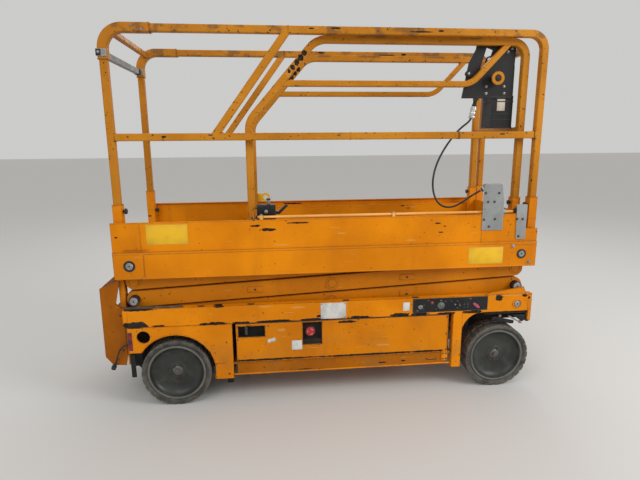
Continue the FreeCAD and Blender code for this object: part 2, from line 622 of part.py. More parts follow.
def guard():
    """Near pothole guard: a plate with its hinge tube, folded inwards."""
    y = far_y((GUARD_IN, GUARD_HINGE_Y))
    plate = block(GUARD_X, y, (GUARD_HINGE_Z - GUARD_T / 2, GUARD_HINGE_Z + GUARD_T / 2))
    lip = block(GUARD_X, far_y((GUARD_IN, GUARD_IN + GUARD_T)), (GUARD_HINGE_Z - 22, GUARD_HINGE_Z))
    tube = rod_x(-GUARD_HINGE_Y, GUARD_HINGE_Z, GUARD_TUBE_R, GUARD_X)
    body = join([plate, lip, tube])
    for end, way in ((GUARD_X[0], 1), (GUARD_X[1], -1)):
        bore_x = sorted((end - way, end + way * 25))
        body = body.cut(rod_x(-GUARD_HINGE_Y, GUARD_HINGE_Z, GUARD_PIN_R + RUN, bore_x))
    return body


def ladder():
    """Rear ladder: two side plates and three treads."""
    plates = [side_plate(LADDER_OUTLINE, far_y(LADDER_Y))]
    plates.append(across(plates[0]))
    half = LADDER_Y[0] + 1
    treads = [block(TREAD_X, (-half, half), (top - TREAD_T, top)) for top in TREAD_TOPS]
    top = side_plate(TOP_TREAD, (-half, half))
    return join(plates + treads + [top])


def ground_panel():
    """Black panel of the ground controls with its round switches."""
    return block(GROUND_X, far_y((HALF_W - GROUND_T, HALF_W - 1)), GROUND_Z)


def arm_ends(stage, inner):
    """Front and rear pin centres, (x, z), of a stage's inner or outer arms."""
    low = PIN_Z + (stage - 1) * ARM_RISE
    high = low + ARM_RISE
    if inner:
        return (PIN_X, low), (ROLLER_X, high)
    return (PIN_X, high), (ROLLER_X, low)


def arm_bar(front, rear, y):
    """A flat bar with round ends about its two end pins."""
    span = math.hypot(front[0] - rear[0], front[1] - rear[1])
    bar = block((0, span), y, (-ARM_H / 2, ARM_H / 2))
    ends = [rod_y(0, 0, ARM_H / 2, y), rod_y(span, 0, ARM_H / 2, y)]
    bar = join([bar] + ends)
    tilt = math.degrees(math.atan2(front[1] - rear[1], front[0] - rear[0]))
    bar.rotate(V(0, 0, 0), V(0, 1, 0), -tilt)
    bar.translate(V(rear[0], 0, rear[1]))
    return bar


def along_arm(front, rear, share):
    """A point on an arm, by its share of the way from the front pin."""
    return (front[0] + (rear[0] - front[0]) * share, front[1] + (rear[1] - front[1]) * share)


def inner_arms(stage):
    """Inner arms of a stage, with the pins that carry the outer arms."""
    front, rear = arm_ends(stage, True)
    y = far_y(INNER_Y)
    bar = arm_bar(front, rear, y)
    middle = along_arm(front, rear, 0.5)
    reach = OUTER_Y[1] + 4
    big = HALF_W - 15
    pins = [(middle, reach)]
    if stage > 1:
        pins.append((front, big if stage == 2 else reach))
    if stage < STAGES:
        pins.append((rear, big if stage == 1 else reach))
    parts = [bar] + [rod_y(p[0], p[1], PIN_R, far_y((INNER_Y[1] - 1, out))) for p, out in pins]
    if stage == STAGES:
        parts.append(rod_y(rear[0], rear[1], PIN_R, far_y((INNER_Y[1] - 1, OUTER_Y[0] + 3))))
        parts.append(rod_y(rear[0], rear[1], ROLLER_R, far_y((OUTER_Y[0] + 2, OUTER_Y[1] - 2))))
    arm = join(parts)
    if stage == 1:
        arm = arm.cut(rod_y(front[0], front[1], PIN_R + RUN, far_y((INNER_Y[0] - 1, INNER_Y[1] + 1))))
    return Part.makeCompound([arm, across(arm)])


def outer_arms(stage):
    """Outer arms of a stage, bored for the pins of the inner arms and of the platform."""
    front, rear = arm_ends(stage, False)
    y = far_y(OUTER_Y)
    arm = arm_bar(front, rear, y)
    middle = along_arm(front, rear, 0.5)
    bores = [middle, front]
    if stage > 1:
        bores.append(rear)
    for x, z in bores:
        arm = arm.cut(rod_y(x, z, PIN_R + RUN, far_y((OUTER_Y[0] - 1, OUTER_Y[1] + 1))))
    if stage == 1:
        stub = rod_y(rear[0], rear[1], PIN_R, far_y((INNER_Y[1] - 3, OUTER_Y[0] + 1)))
        roller = rod_y(rear[0], rear[1], ROLLER_R, far_y((INNER_Y[0] + 2, INNER_Y[1] - 2)))
        arm = join([arm, stub, roller])
    return Part.makeCompound([arm, across(arm)])


LIFT_FOOT = along_arm(*arm_ends(1, True), LIFT_FOOT_SHARE)
LIFT_HEAD = along_arm(*arm_ends(2, True), LIFT_HEAD_SHARE)
LIFT_CLOSED = math.hypot(LIFT_HEAD[0] - LIFT_FOOT[0], LIFT_HEAD[1] - LIFT_FOOT[1])
LIFT_TILT = math.degrees(math.atan2(LIFT_HEAD[1] - LIFT_FOOT[1], LIFT_HEAD[0] - LIFT_FOOT[0]))


def cross_tubes(stage):
    """Tubes between a stage's inner arms, with the pin of the cylinder's foot on the lowest."""
    front, rear = arm_ends(stage, True)
    half = INNER_Y[0]
    tubes = []
    for share in TUBE_SHARES[stage]:
        x, z = along_arm(front, rear, share)
        tubes.append(rod_y(x, z, TUBE_R, (-half, half)))
    if stage == 1:
        x, z = LIFT_FOOT
        tubes.append(rod_y(x, z, LIFT_PIN_R, (-half, half)))
    return Part.makeCompound(tubes)


def place_lift(shape):
    """Puts a cylinder piece, modelled along +X from the foot pin, in its place."""
    shape.rotate(V(0, 0, 0), V(0, 1, 0), -LIFT_TILT)
    shape.translate(V(LIFT_FOOT[0], 0, LIFT_FOOT[1]))
    return shape


def lift_barrel():
    """Barrel of the lift cylinder with its foot eye and gland."""
    half = LIFT_EYE_W / 2
    eye = rod_y(0, 0, LIFT_EYE_R, (-half, half))
    neck = block((20.0, BARREL_FROM + 10), (-half + 6, half - 6), (-30.0, 30.0))
    barrel = rod_x(0, 0, BARREL_R, (BARREL_FROM, BARREL_TO - 30))
    gland = rod_x(0, 0, BARREL_R - 5, (BARREL_TO - 31, BARREL_TO))
    body = join([eye, neck, barrel, gland])
    body = body.cut(rod_y(0, 0, LIFT_PIN_R + RUN, (-half - 1, half + 1)))
    body = body.cut(rod_x(0, 0, LIFT_ROD_R + RUN, (ROD_TAIL - 20, BARREL_TO + 1)))
    return place_lift(body)


def lift_rod():
    """Chromed rod with its head eye and the cross shaft that reaches both inner arms."""
    half = LIFT_EYE_W / 2
    reach = INNER_Y[0] - SEAT
    bar = rod_x(0, 0, LIFT_ROD_R, (ROD_TAIL, LIFT_CLOSED - 30))
    eye = rod_y(LIFT_CLOSED, 0, LIFT_EYE_R, (-half, half))
    shaft = rod_y(LIFT_CLOSED, 0, LIFT_PIN_R, (-reach, reach))
    return place_lift(join([bar, eye, shaft]))


def platform_frame():
    """Platform underframe: side channels that are the upper tracks, ends, cross members, front pins."""
    track_z = PIN_Z + STAGES * ARM_RISE + ROLLER_R + SEAT
    parts = []
    for side in (-1, 1):
        web_y = sorted((side * (HALF_W - CHANNEL_WEB), side * HALF_W))
        parts.append(block((PF_REAR, PF_FRONT), web_y, (PF_LOW, DECK[0])))
        top_y = sorted((side * TRACK_IN, side * HALF_W))
        parts.append(block((PF_REAR, TRACK_END), top_y, (track_z, track_z + CHANNEL_LIP)))
        lip_y = sorted((side * (BEAM_IN + 4), side * HALF_W))
        parts.append(block((TRACK_END - 1, PF_FRONT), lip_y, (track_z, track_z + CHANNEL_LIP)))
        parts.append(block((PF_REAR, PF_FRONT), lip_y, (PF_LOW, PF_LOW + CHANNEL_LIP)))
        pin_z = PIN_Z + STAGES * ARM_RISE
        for lug in ((OUTER_Y[0] - 14, OUTER_Y[0] - 6), (OUTER_Y[1] + 6, OUTER_Y[1] + 14)):
            lug_y = sorted((side * lug[0], side * lug[1]))
            parts.append(block((PIN_X - CROSS_HALF, PIN_X + CROSS_HALF), lug_y, (pin_z - CROSS_HALF, CROSS_Z + 1)))
        pin_y = sorted((side * (OUTER_Y[0] - 14), side * HALF_W))
        parts.append(rod_y(PIN_X, pin_z, PIN_R, pin_y))
    inside = HALF_W - CHANNEL_WEB + 1
    for x in ((PF_REAR, PF_REAR + SKIN), (PF_FRONT - SKIN, PF_FRONT)):
        parts.append(block(x, (-inside, inside), (PF_LOW + 20, DECK[0])))
    for x in CROSS_MEMBERS + (PIN_X,):
        parts.append(block((x - CROSS_HALF, x + CROSS_HALF), (-inside, inside), (CROSS_Z, DECK[0])))
    return join(parts)


def deck():
    """Main deck plate."""
    return block((PF_REAR, PF_FRONT), (-HALF_W + 1, HALF_W - 1), DECK)


def toe_boards():
    """Side toe boards with the sockets of the outer rail posts."""
    half = RAIL / 2 + SEAT
    board_y = far_y((TOE_OUT - TOE_T, TOE_OUT))
    parts = [block((PF_REAR, TOE_FRONT), board_y, (DECK[1], TOE_TOP)),
             block((TOE_FRONT - 1, PF_FRONT), board_y, (DECK[1], TOE_FRONT_TOP))]
    socket_y = far_y((RAIL_Y - SOCKET_HALF, RAIL_Y + SOCKET_HALF))
    for x in (REAR_POST_X, FRONT_POST_X):
        parts.append(block((x - SOCKET_HALF, x + SOCKET_HALF), socket_y, (DECK[1], SOCKET_TOP)))
        web_y = far_y((RAIL_Y + SOCKET_HALF - 1, TOE_OUT - 1))
        parts.append(block((x - 10, x + 10), web_y, (DECK[1], TOE_FRONT_TOP)))
    wide, thick = TOE_LIP
    parts.append(block((PF_REAR, TOE_FRONT), far_y((TOE_OUT - wide, TOE_OUT)), (TOE_TOP - thick, TOE_TOP)))
    body = join(parts)
    for x in (REAR_POST_X, FRONT_POST_X):
        body = body.cut(block((x - half, x + half), far_y((RAIL_Y - half, RAIL_Y + half)),
                              (DECK[1] + 5, SOCKET_TOP + 1)))
    return Part.makeCompound([body, across(body)])


def outer_rail():
    """Near fixed rail frame: posts and top rail in one bent tube, mid rail and brace."""
    foot = DECK[1] + 5
    loop = square_tube(rail_path(-RAIL_Y, [(REAR_POST_X, foot), (REAR_POST_X, RAIL_TOP),
                                           (FRONT_POST_X, RAIL_TOP), (FRONT_POST_X, foot)]), (REAR_BEND, FRONT_BEND))
    mid = square_tube(rail_path(-RAIL_Y, [(REAR_POST_X, RAIL_MID), (FRONT_POST_X, RAIL_MID)]))
    brace = square_tube(rail_path(-RAIL_Y, [(BRACE_TOP_X, RAIL_TOP), (BRACE_LOW_X, RAIL_MID)]))
    return join([loop, mid, brace])


def slide_rail():
    """Near rail frame of the extension, with its leaning rear brace and second rail."""
    y = -SLIDE_RAIL_Y
    foot = EXT_DECK[1] + 5
    loop = square_tube(rail_path(y, [(SLIDE_POST_X, foot), (SLIDE_POST_X, SLIDE_LEAN_Z), (SLIDE_LEAN_X, SLIDE_TOP),
                                     (SLIDE_FRONT_X, SLIDE_TOP), (SLIDE_FRONT_X, foot)]),
                       (SLIDE_BEND, SLIDE_BEND, FRONT_BEND))
    share = (SLIDE_SECOND - SLIDE_LEAN_Z) / (SLIDE_TOP - SLIDE_LEAN_Z)
    meet = SLIDE_POST_X + (SLIDE_LEAN_X - SLIDE_POST_X) * share
    second = square_tube(rail_path(y, [(meet, SLIDE_SECOND), (SECOND_TURN_X, SLIDE_SECOND),
                                       (SECOND_END_X, SLIDE_TOP)]), (SLIDE_BEND,), SECOND_RAIL)
    return join([loop, second])


def extension_deck():
    """Sliding deck tray with its side lips, front toe board, sockets and wear strips."""
    half = RAIL / 2 + SEAT
    edge = SLIDE_RAIL_Y + SOCKET_HALF
    parts = [block((EXT_REAR, EXT_FRONT), (-edge, edge), EXT_DECK),
             block((EXT_FRONT - 6, EXT_FRONT), (-edge, edge), (EXT_DECK[0], EXT_TOE_TOP))]
    for side in (-1, 1):
        lip_y = sorted((side * (edge - 5), side * edge))
        parts.append(block((EXT_REAR, EXT_FRONT), lip_y, (EXT_DECK[0], EXT_LIP_TOP)))
        pad_y = sorted((side * EXT_STRIP[0], side * EXT_STRIP[1]))
        parts.append(block((EXT_REAR + 15, EXT_FRONT - 60), pad_y, (DECK[1] + SEAT, EXT_DECK[0] + 1)))
        for x, top in EXT_SOCKETS:
            sock_y = sorted((side * (SLIDE_RAIL_Y - SOCKET_HALF), side * edge))
            parts.append(block((x - SOCKET_HALF, x + SOCKET_HALF), sock_y, (EXT_DECK[1] - 1, top)))
    body = join(parts)
    for side in (-1, 1):
        for x in (SLIDE_POST_X, SLIDE_FRONT_X):
            hole_y = sorted((side * (SLIDE_RAIL_Y - half), side * (SLIDE_RAIL_Y + half)))
            body = body.cut(block((x - half, x + half), hole_y, (EXT_DECK[1] + 5, max(top for x, top in EXT_SOCKETS) + 1)))
    return body


def front_gate():
    """Front rails of the extension, between its two front posts."""
    half = SLIDE_RAIL_Y - RAIL / 2
    top = cross_bar(SLIDE_FRONT_X, SLIDE_TOP - FRONT_BEND / 2, half)
    mid = cross_bar(SLIDE_FRONT_X, GATE_MID, half)
    return Part.makeCompound([top, mid])


def rear_rail():
    """Cross bar that joins the two outer frames at their rear bends."""
    turn = math.radians(REAR_RAIL_TURN)
    x = REAR_POST_X + REAR_BEND * (1 - math.sin(turn))
    z = RAIL_TOP - REAR_BEND * (1 - math.cos(turn))
    return cross_bar(x, z, RAIL_Y - SLEEVE / 2, REAR_RAIL)


def rear_sleeves():
    """Sleeves over the rear bends of the outer rail frames."""
    outer = square_tube(rail_path(-RAIL_Y, [(REAR_POST_X, SLEEVE_LOW), (REAR_POST_X, RAIL_TOP),
                                            (SLEEVE_END_X, RAIL_TOP)]), (REAR_BEND,), SLEEVE)
    inner = square_tube(rail_path(-RAIL_Y, [(REAR_POST_X, SLEEVE_LOW - 5), (REAR_POST_X, RAIL_TOP),
                                            (SLEEVE_END_X + 5, RAIL_TOP)]), (REAR_BEND,), RAIL + 2 * SEAT)
    near = outer.cut(inner)
    return Part.makeCompound([near, across(near)])


def gate_bar():
    """Drop bar of the entry, raised, with a clip round each rear post."""
    half_post = SLEEVE / 2 + 0.5
    parts = []
    front = REAR_POST_X + SLEEVE / 2 - 2
    back = REAR_POST_X - half_post - GATE_CLIP
    for side in (-1, 1):
        y = sorted((side * (RAIL_Y - half_post - GATE_CLIP), side * (RAIL_Y + half_post + GATE_CLIP)))
        clip = block((back, front), y, (GATE_BAR_Z - 17, GATE_BAR_Z + 17))
        hollow_y = sorted((side * (RAIL_Y - half_post), side * (RAIL_Y + half_post)))
        parts.append(clip.cut(block((REAR_POST_X - half_post, front + 1), hollow_y,
                                    (GATE_BAR_Z - 18, GATE_BAR_Z + 18))))
    inner = RAIL_Y - half_post - 1
    parts.append(block((back, back + 30), (-inner, inner), (GATE_BAR_Z - 14, GATE_BAR_Z + 14)))
    return join(parts)


def rail_guides():
    """Grey guide plates on the near toe board, with the gland that the control cable enters."""
    reach, thick = GUIDE_CAP
    plate_y = far_y((TOE_OUT, TOE_OUT + TOE_T))
    cap_y = far_y((TOE_OUT + TOE_T - reach, TOE_OUT + TOE_T))
    large_top = LARGE_GUIDE[3][1]
    small_top = SMALL_GUIDE[3][1]
    end = V(*CABLE_ROUTE[-1])
    way = (end - V(*CABLE_ROUTE[-2])).normalize()
    large = [side_plate(LARGE_GUIDE, plate_y),
             block(LARGE_GUIDE_CAP, cap_y, (large_top - thick, large_top)),
             Part.makeCylinder(GLAND_R, GUIDE_GLAND, end, way),
             block(GUIDE_SEAT[0], far_y((4 - end.y, TOE_OUT + 1)), GUIDE_SEAT[1])]
    small = [side_plate(SMALL_GUIDE, plate_y),
             block(SMALL_GUIDE_CAP, cap_y, (small_top - thick, small_top))]
    return Part.makeCompound([join(large), join(small)])


def guide_rod():
    """Long rod along the near toe board, in blocks that stand on the board's lip."""
    y, z = GUIDE_ROD_YZ
    half = GUIDE_FOOT / 2
    bar = rod_x(y, z, GUIDE_ROD_R, GUIDE_ROD_X)
    feet = [block((x - half, x + half), (y - half, y + half), (TOE_TOP, z + half)) for x in GUIDE_FEET]
    return join([bar] + feet)


def extension_latch():
    """Foot latch at the rear post of the extension."""
    outer = SLIDE_RAIL_Y + SOCKET_HALF
    body = block(LATCH_X, far_y((outer - LATCH_W, outer)), (EXT_LIP_TOP, LATCH_TOP))
    pedal = side_plate(PEDAL, far_y((outer - PEDAL_Y[1], outer - PEDAL_Y[0])))
    return join([body, pedal])


def control_bracket():
    """Bracket plate of the platform controls, with its hand slot and the cable's gland."""
    face = SLIDE_RAIL_Y - RAIL / 2
    plate = side_plate(BRACKET, far_y((face - BRACKET_T, face)))
    plate = plate.cut(side_plate(BRACKET_SLOT, far_y((face - BRACKET_T - 1, face + 1))))
    start = V(*CABLE_ROUTE[0])
    back = (start - V(*CABLE_ROUTE[1])).normalize()
    gland = Part.makeCylinder(GLAND_R, GLAND_RUN, start, back)
    top = start + back * GLAND_RUN
    tab = block((top.x + GLAND_TAB[0], top.x + GLAND_TAB[1]), (-face, top.y), GLAND_TAB_Z)
    return join([plate, tab, gland])


def control_box():
    """Platform control box with the manual box below it."""
    face = SLIDE_RAIL_Y - RAIL / 2 - BRACKET_T
    box = block(BOX_X, far_y((face - BOX_DEEP, face)), BOX_Z)
    box = box.makeFillet(6.0, [e for e in box.Edges if abs(e.Length - (BOX_X[1] - BOX_X[0])) < 0.01])
    manual = block(MANUAL_X, far_y((face - MANUAL_DEEP, face)), (MANUAL_LOW, BOX_Z[0] + 0.5))
    return join([box, manual])


def cord(route, diameter, name):
    """A plain tube along straight runs joined by tangent arcs; prints each arc's radius."""
    points = [V(*p) for p in route]
    radii = []
    for before, corner, after in zip(points, points[1:], points[2:]):
        turn = math.pi - (before - corner).getAngle(after - corner)
        shorter = min((corner - before).Length, (after - corner).Length)
        radii.append(0.45 * shorter / math.tan(turn / 2))
    print(name, "radii", [round(r) for r in radii])
    path = bent_path(points, radii)
    start = Part.Circle(points[0], points[1] - points[0], diameter / 2).toShape()
    tube = path.makePipeShell([Part.Wire([start])], True, False)
    expected = math.pi * diameter ** 2 / 4 * path.Length
    print(name, "length", round(path.Length, 1), "volume ratio", round(tube.Volume / expected, 4))
    return tube


def lead_plug():
    """Plug on the charger lead."""
    end = V(*LEAD_ROUTE[-1])
    way = (end - V(*LEAD_ROUTE[-2])).normalize()
    grip = Part.makeCone(7.0, 13.0, 12.0, end, way)
    head = Part.makeCylinder(13.0, 20.0, end + way * 12.0, way)
    return join([grip, head])


NODES = {
    "chassis_side_near": chassis_side(True),
    "chassis_side_far": across(chassis_side(False)),
    "front_gussets": front_gussets(),
    "chassis_top": chassis_top(),
    "chassis_tub": chassis_tub(),
    "rear_housing": rear_housing(),
    "front_axle": front_axle(),
    "ladder": ladder(),
    "ground_panel": ground_panel(),
    "charger_lead": cord(LEAD_ROUTE, LEAD_D, "charger_lead"),
    "charger_plug": lead_plug(),
    "knuckle_near": knuckle(-1),
    "knuckle_far": knuckle(1),
    "tie_rod": tie_rod(),
    "door_near": door(True),
    "door_far": across(door(False)),
    "tray_near": tray(),
    "tray_far": across(tray()),
    "batteries": batteries(),
    "power_unit": power_unit(),
    "stop_button": stop_button(),
    "guard_near": guard(),
    "guard_far": across(guard()),
    "lift_barrel": lift_barrel(),
    "lift_rod": lift_rod(),
    "platform_frame": platform_frame(),
    "platform_deck": deck(),
    "toe_boards": toe_boards(),
    "outer_rail_near": outer_rail(),
    "outer_rail_far": across(outer_rail()),
    "rear_rail": rear_rail(),
    "rear_sleeves": rear_sleeves(),
    "gate_bar": gate_bar(),
    "rail_guides": rail_guides(),
    "guide_rod": guide_rod(),
    "extension_deck": extension_deck(),
    "slide_rail_near": slide_rail(),
    "slide_rail_far": across(slide_rail()),
    "front_gate": front_gate(),
    "extension_latch": extension_latch(),
    "control_bracket": control_bracket(),
    "control_box": control_box(),
    "control_cable": cord(CABLE_ROUTE, CABLE_D, "control_cable"),
}
for wheel_x, end in ((REAR_X, "rear"), (FRONT_X, "front")):
    for wheel_side, name in ((-1, "near"), (1, "far")):
        NODES["tyre_%s_%s" % (end, name)] = tyre(wheel_x, wheel_side)
        NODES["rim_%s_%s" % (end, name)] = rim(wheel_x, wheel_side)
for number in range(1, STAGES + 1):
    NODES["inner_arms_%d" % number] = inner_arms(number)
    NODES["outer_arms_%d" % number] = outer_arms(number)
    NODES["cross_tubes_%d" % number] = cross_tubes(number)

os.makedirs("parts", exist_ok=True)
for node, shape in NODES.items():
    if not shape.isValid():
        print("not valid:", node)
    shape.exportStep("parts/%s.step" % node)
print(len(NODES), "nodes")
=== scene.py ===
"""Looks of a narrow electric scissor lift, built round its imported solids.

Sizes in the tables are millimetres in the part's own frame: +X towards the steered wheels, the near
side at -Y, +Z up, and the origin on the floor at the middle of the length and width.
"""
from __future__ import annotations

import logging
import math
from dataclasses import dataclass, field
from enum import Enum
from typing import Any, Iterable, Sequence

import bmesh
import bpy
from mathutils import Matrix, Vector

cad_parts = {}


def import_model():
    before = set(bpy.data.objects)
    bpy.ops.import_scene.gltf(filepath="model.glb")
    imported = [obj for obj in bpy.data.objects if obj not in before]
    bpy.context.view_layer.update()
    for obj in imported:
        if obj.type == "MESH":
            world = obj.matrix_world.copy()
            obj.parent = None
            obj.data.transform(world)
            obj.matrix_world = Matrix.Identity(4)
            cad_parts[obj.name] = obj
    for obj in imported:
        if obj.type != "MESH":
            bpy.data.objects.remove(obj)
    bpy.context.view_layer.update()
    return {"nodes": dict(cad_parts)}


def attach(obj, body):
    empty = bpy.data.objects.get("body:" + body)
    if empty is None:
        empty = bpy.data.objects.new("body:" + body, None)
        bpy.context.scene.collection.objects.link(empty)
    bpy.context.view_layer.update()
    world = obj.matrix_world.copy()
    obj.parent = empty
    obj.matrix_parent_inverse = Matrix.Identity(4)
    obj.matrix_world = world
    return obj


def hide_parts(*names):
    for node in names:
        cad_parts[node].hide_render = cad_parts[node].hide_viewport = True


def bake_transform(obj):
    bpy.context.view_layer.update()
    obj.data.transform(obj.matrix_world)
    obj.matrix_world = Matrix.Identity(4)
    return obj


LOG = logging.getLogger("lift")
MM = 0.001
Pair = tuple[float, float]
Triple = tuple[float, float, float]


class Side(Enum):
    """The machine's two long sides, by the sign of Y."""

    NEAR = -1
    FAR = 1

    def y(self, distance: float) -> float:
        """Y of a place at a distance from the middle, on this side."""
        return self.value * distance

    def span(self, inner: float, outer: float) -> Pair:
        """A (low, high) pair of Y between two distances from the middle."""
        low, high = sorted((self.value * inner, self.value * outer))
        return low, high


class Axis(Enum):
    """Directions that round pieces are turned about."""

    X = 0
    Y = 1
    Z = 2

    def vector(self) -> Vector:
        """Unit vector of the axis."""
        return Vector([1.0 if index == self.value else 0.0 for index in range(3)])


# Materials


class Socket:
    """A number or colour on its way through a node tree, with Python's operators."""

    def __init__(self, tree: "Tree", source: bpy.types.NodeSocket) -> None:
        """Keeps the tree and the output socket."""
        self.tree = tree
        self.source = source

    def _maths(self, operation: str, *values: Any) -> "Socket":
        """Adds one Math node."""
        inputs = {index: value for index, value in enumerate(values)}
        return self.tree.add("ShaderNodeMath", {"operation": operation}, inputs)

    def __add__(self, other: Any) -> "Socket":
        """Sum."""
        return self._maths("ADD", self, other)

    def __radd__(self, other: Any) -> "Socket":
        """Sum, reflected."""
        return self._maths("ADD", other, self)

    def __sub__(self, other: Any) -> "Socket":
        """Difference."""
        return self._maths("SUBTRACT", self, other)

    def __rsub__(self, other: Any) -> "Socket":
        """Difference, reflected."""
        return self._maths("SUBTRACT", other, self)

    def __mul__(self, other: Any) -> "Socket":
        """Product."""
        return self._maths("MULTIPLY", self, other)

    def __rmul__(self, other: Any) -> "Socket":
        """Product, reflected."""
        return self._maths("MULTIPLY", other, self)

    def __truediv__(self, other: Any) -> "Socket":
        """Quotient."""
        return self._maths("DIVIDE", self, other)

    def __gt__(self, other: Any) -> "Socket":
        """One where it is greater."""
        return self._maths("GREATER_THAN", self, other)

    def __lt__(self, other: Any) -> "Socket":
        """One where it is less."""
        return self._maths("LESS_THAN", self, other)

    def absolute(self) -> "Socket":
        """Its size without its sign."""
        return self._maths("ABSOLUTE", self)

    def highest(self, other: Any) -> "Socket":
        """The greater of two."""
        return self._maths("MAXIMUM", self, other)

    def lowest(self, other: Any) -> "Socket":
        """The lesser of two."""
        return self._maths("MINIMUM", self, other)

    def step(self, low: float, high: float) -> "Socket":
        """Smoothly 0 to 1 as it goes from low to high."""
        return self.tree.add("ShaderNodeMapRange", {"interpolation_type": "SMOOTHSTEP"},
                             {"Value": self, "From Min": low, "From Max": high})


class Tree:
    """A node tree with one method that makes its nodes."""

    def __init__(self, nodes: bpy.types.NodeTree) -> None:
        """Keeps the tree and finds no coordinates yet."""
        self.nodes = nodes
        self.place: Socket | None = None

    def add(self, kind: str, settings: dict[str, Any], values: dict[Any, Any], out: int | str = 0) -> Socket:
        """Makes one node.

        Args:
            kind: the node's type name.
            settings: properties to set before the sockets, such as an operation or "stops" of a ramp.
            values: input socket names or numbers, with values or Sockets.
            out: the output that is wanted.

        Returns:
            The output as a Socket; its node is source.node.
        """
        node = self.nodes.nodes.new(kind)
        for name, value in settings.items():
            if name == "stops":
                ramp = node.color_ramp
                while len(ramp.elements) < len(value):
                    ramp.elements.new(0.5)
                for element, (place, colour) in zip(ramp.elements, value):
                    element.position = place
                    element.color = (*colour, 1.0)
            else:
                setattr(node, name, value)
        for name, value in values.items():
            socket = node.inputs[name]
            if isinstance(value, Socket):
                self.nodes.links.new(value.source, socket)
            elif isinstance(value, list):
                for item in value:
                    self.nodes.links.new(item.source, socket)
            elif isinstance(value, tuple) and len(value) == 3 and len(socket.default_value) == 4:
                socket.default_value = (*value, 1.0)
            else:
                socket.default_value = value
        return Socket(self, node.outputs[out])

    def end_in(self, shader: Socket, kind: str = "ShaderNodeOutputMaterial") -> None:
        """Links a shader to the tree's output node."""
        node = self.nodes.nodes.new(kind)
        self.nodes.links.new(shader.source, node.inputs["Surface"])

    def coordinates(self) -> Socket:
        """Object coordinates, in metres."""
        if self.place is None:
            self.place = self.add("ShaderNodeTexCoord", {}, {}, "Object")
        return self.place

    def scaled(self, scale: Triple, shift: Triple = (0.0, 0.0, 0.0)) -> Socket:
        """Object coordinates through a Mapping node."""
        return self.add("ShaderNodeMapping", {}, {"Vector": self.coordinates(), "Scale": scale, "Location": shift})

    def axis(self, which: Axis) -> Socket:
        """One coordinate of the object's space."""
        return self.add("ShaderNodeSeparateXYZ", {}, {0: self.coordinates()}, which.value)

    def noise(self, scale: float, detail: float = 3.0, stretch: Triple = (1.0, 1.0, 1.0),
              shift: Triple = (0.0, 0.0, 0.0), roughness: float = 0.55) -> Socket:
        """Noise over the object's space, from about 0.3 to 0.7."""
        return self.add("ShaderNodeTexNoise", {}, {"Vector": self.scaled(stretch, shift), "Scale": scale,
                                                    "Detail": detail, "Roughness": roughness}, "Fac")

    def mix(self, factor: Any, first: Any, second: Any) -> Socket:
        """Mixes two colours."""
        node = self.add("ShaderNodeMix", {"data_type": "RGBA"}, {0: factor, 6: first, 7: second}, 2)
        return node

    def rounding(self, radius: float) -> Socket:
        """The normal as if edges were rounded."""
        return self.add("ShaderNodeBevel", {"samples": 4}, {"Radius": radius})

    def edges(self, radius: float) -> Socket:
        """Near 0 on flats and up to about 0.3 close to sharp edges."""
        flat = self.add("ShaderNodeNewGeometry", {}, {}, "True Normal")
        dot = self.add("ShaderNodeVectorMath", {"operation": "DOT_PRODUCT"}, {0: self.rounding(radius), 1: flat},
                       "Value")
        return 1.0 - dot

    def patches(self, places: Sequence[tuple[float, float, float, float]], ragged: Socket) -> Socket:
        """One inside ragged ovals on the long sides.

        Args:
            places: (x, z, half width, half height) of each, in millimetres.
            ragged: noise that makes the borders uneven.

        Returns:
            The mask.
        """
        x, z = self.axis(Axis.X), self.axis(Axis.Z)
        whole: Any = 0.0
        for px, pz, wide, high in places:
            dx = (x - px * MM) * (1.0 / (wide * MM))
            dz = (z - pz * MM) * (1.0 / (high * MM))
            inside = 1.0 - (dx * dx + dz * dz)
            near = (inside + (ragged - 0.5) * 4.0) > 0.0
            whole = near if isinstance(whole, float) else whole.highest(near)
        return whole


class Finish:
    """A material that is made once and then shared."""

    name = "finish"
    _made: dict[str, bpy.types.Material] = {}

    def material(self) -> bpy.types.Material:
        """The Blender material, made at the first call."""
        if self.name not in Finish._made:
            made = bpy.data.materials.new(self.name)
            made.use_nodes = True
            made.node_tree.nodes.clear()
            tree = Tree(made.node_tree)
            self.build(tree)
            Finish._made[self.name] = made
        return Finish._made[self.name]

    def build(self, tree: Tree) -> None:
        """Fills the tree."""
        raise NotImplementedError

    @staticmethod
    def surface(tree: Tree, values: dict[str, Any]) -> None:
        """Ends the tree in one Principled shader with these inputs."""
        shader = tree.add("ShaderNodeBsdfPrincipled", {}, values)
        tree.end_in(shader)




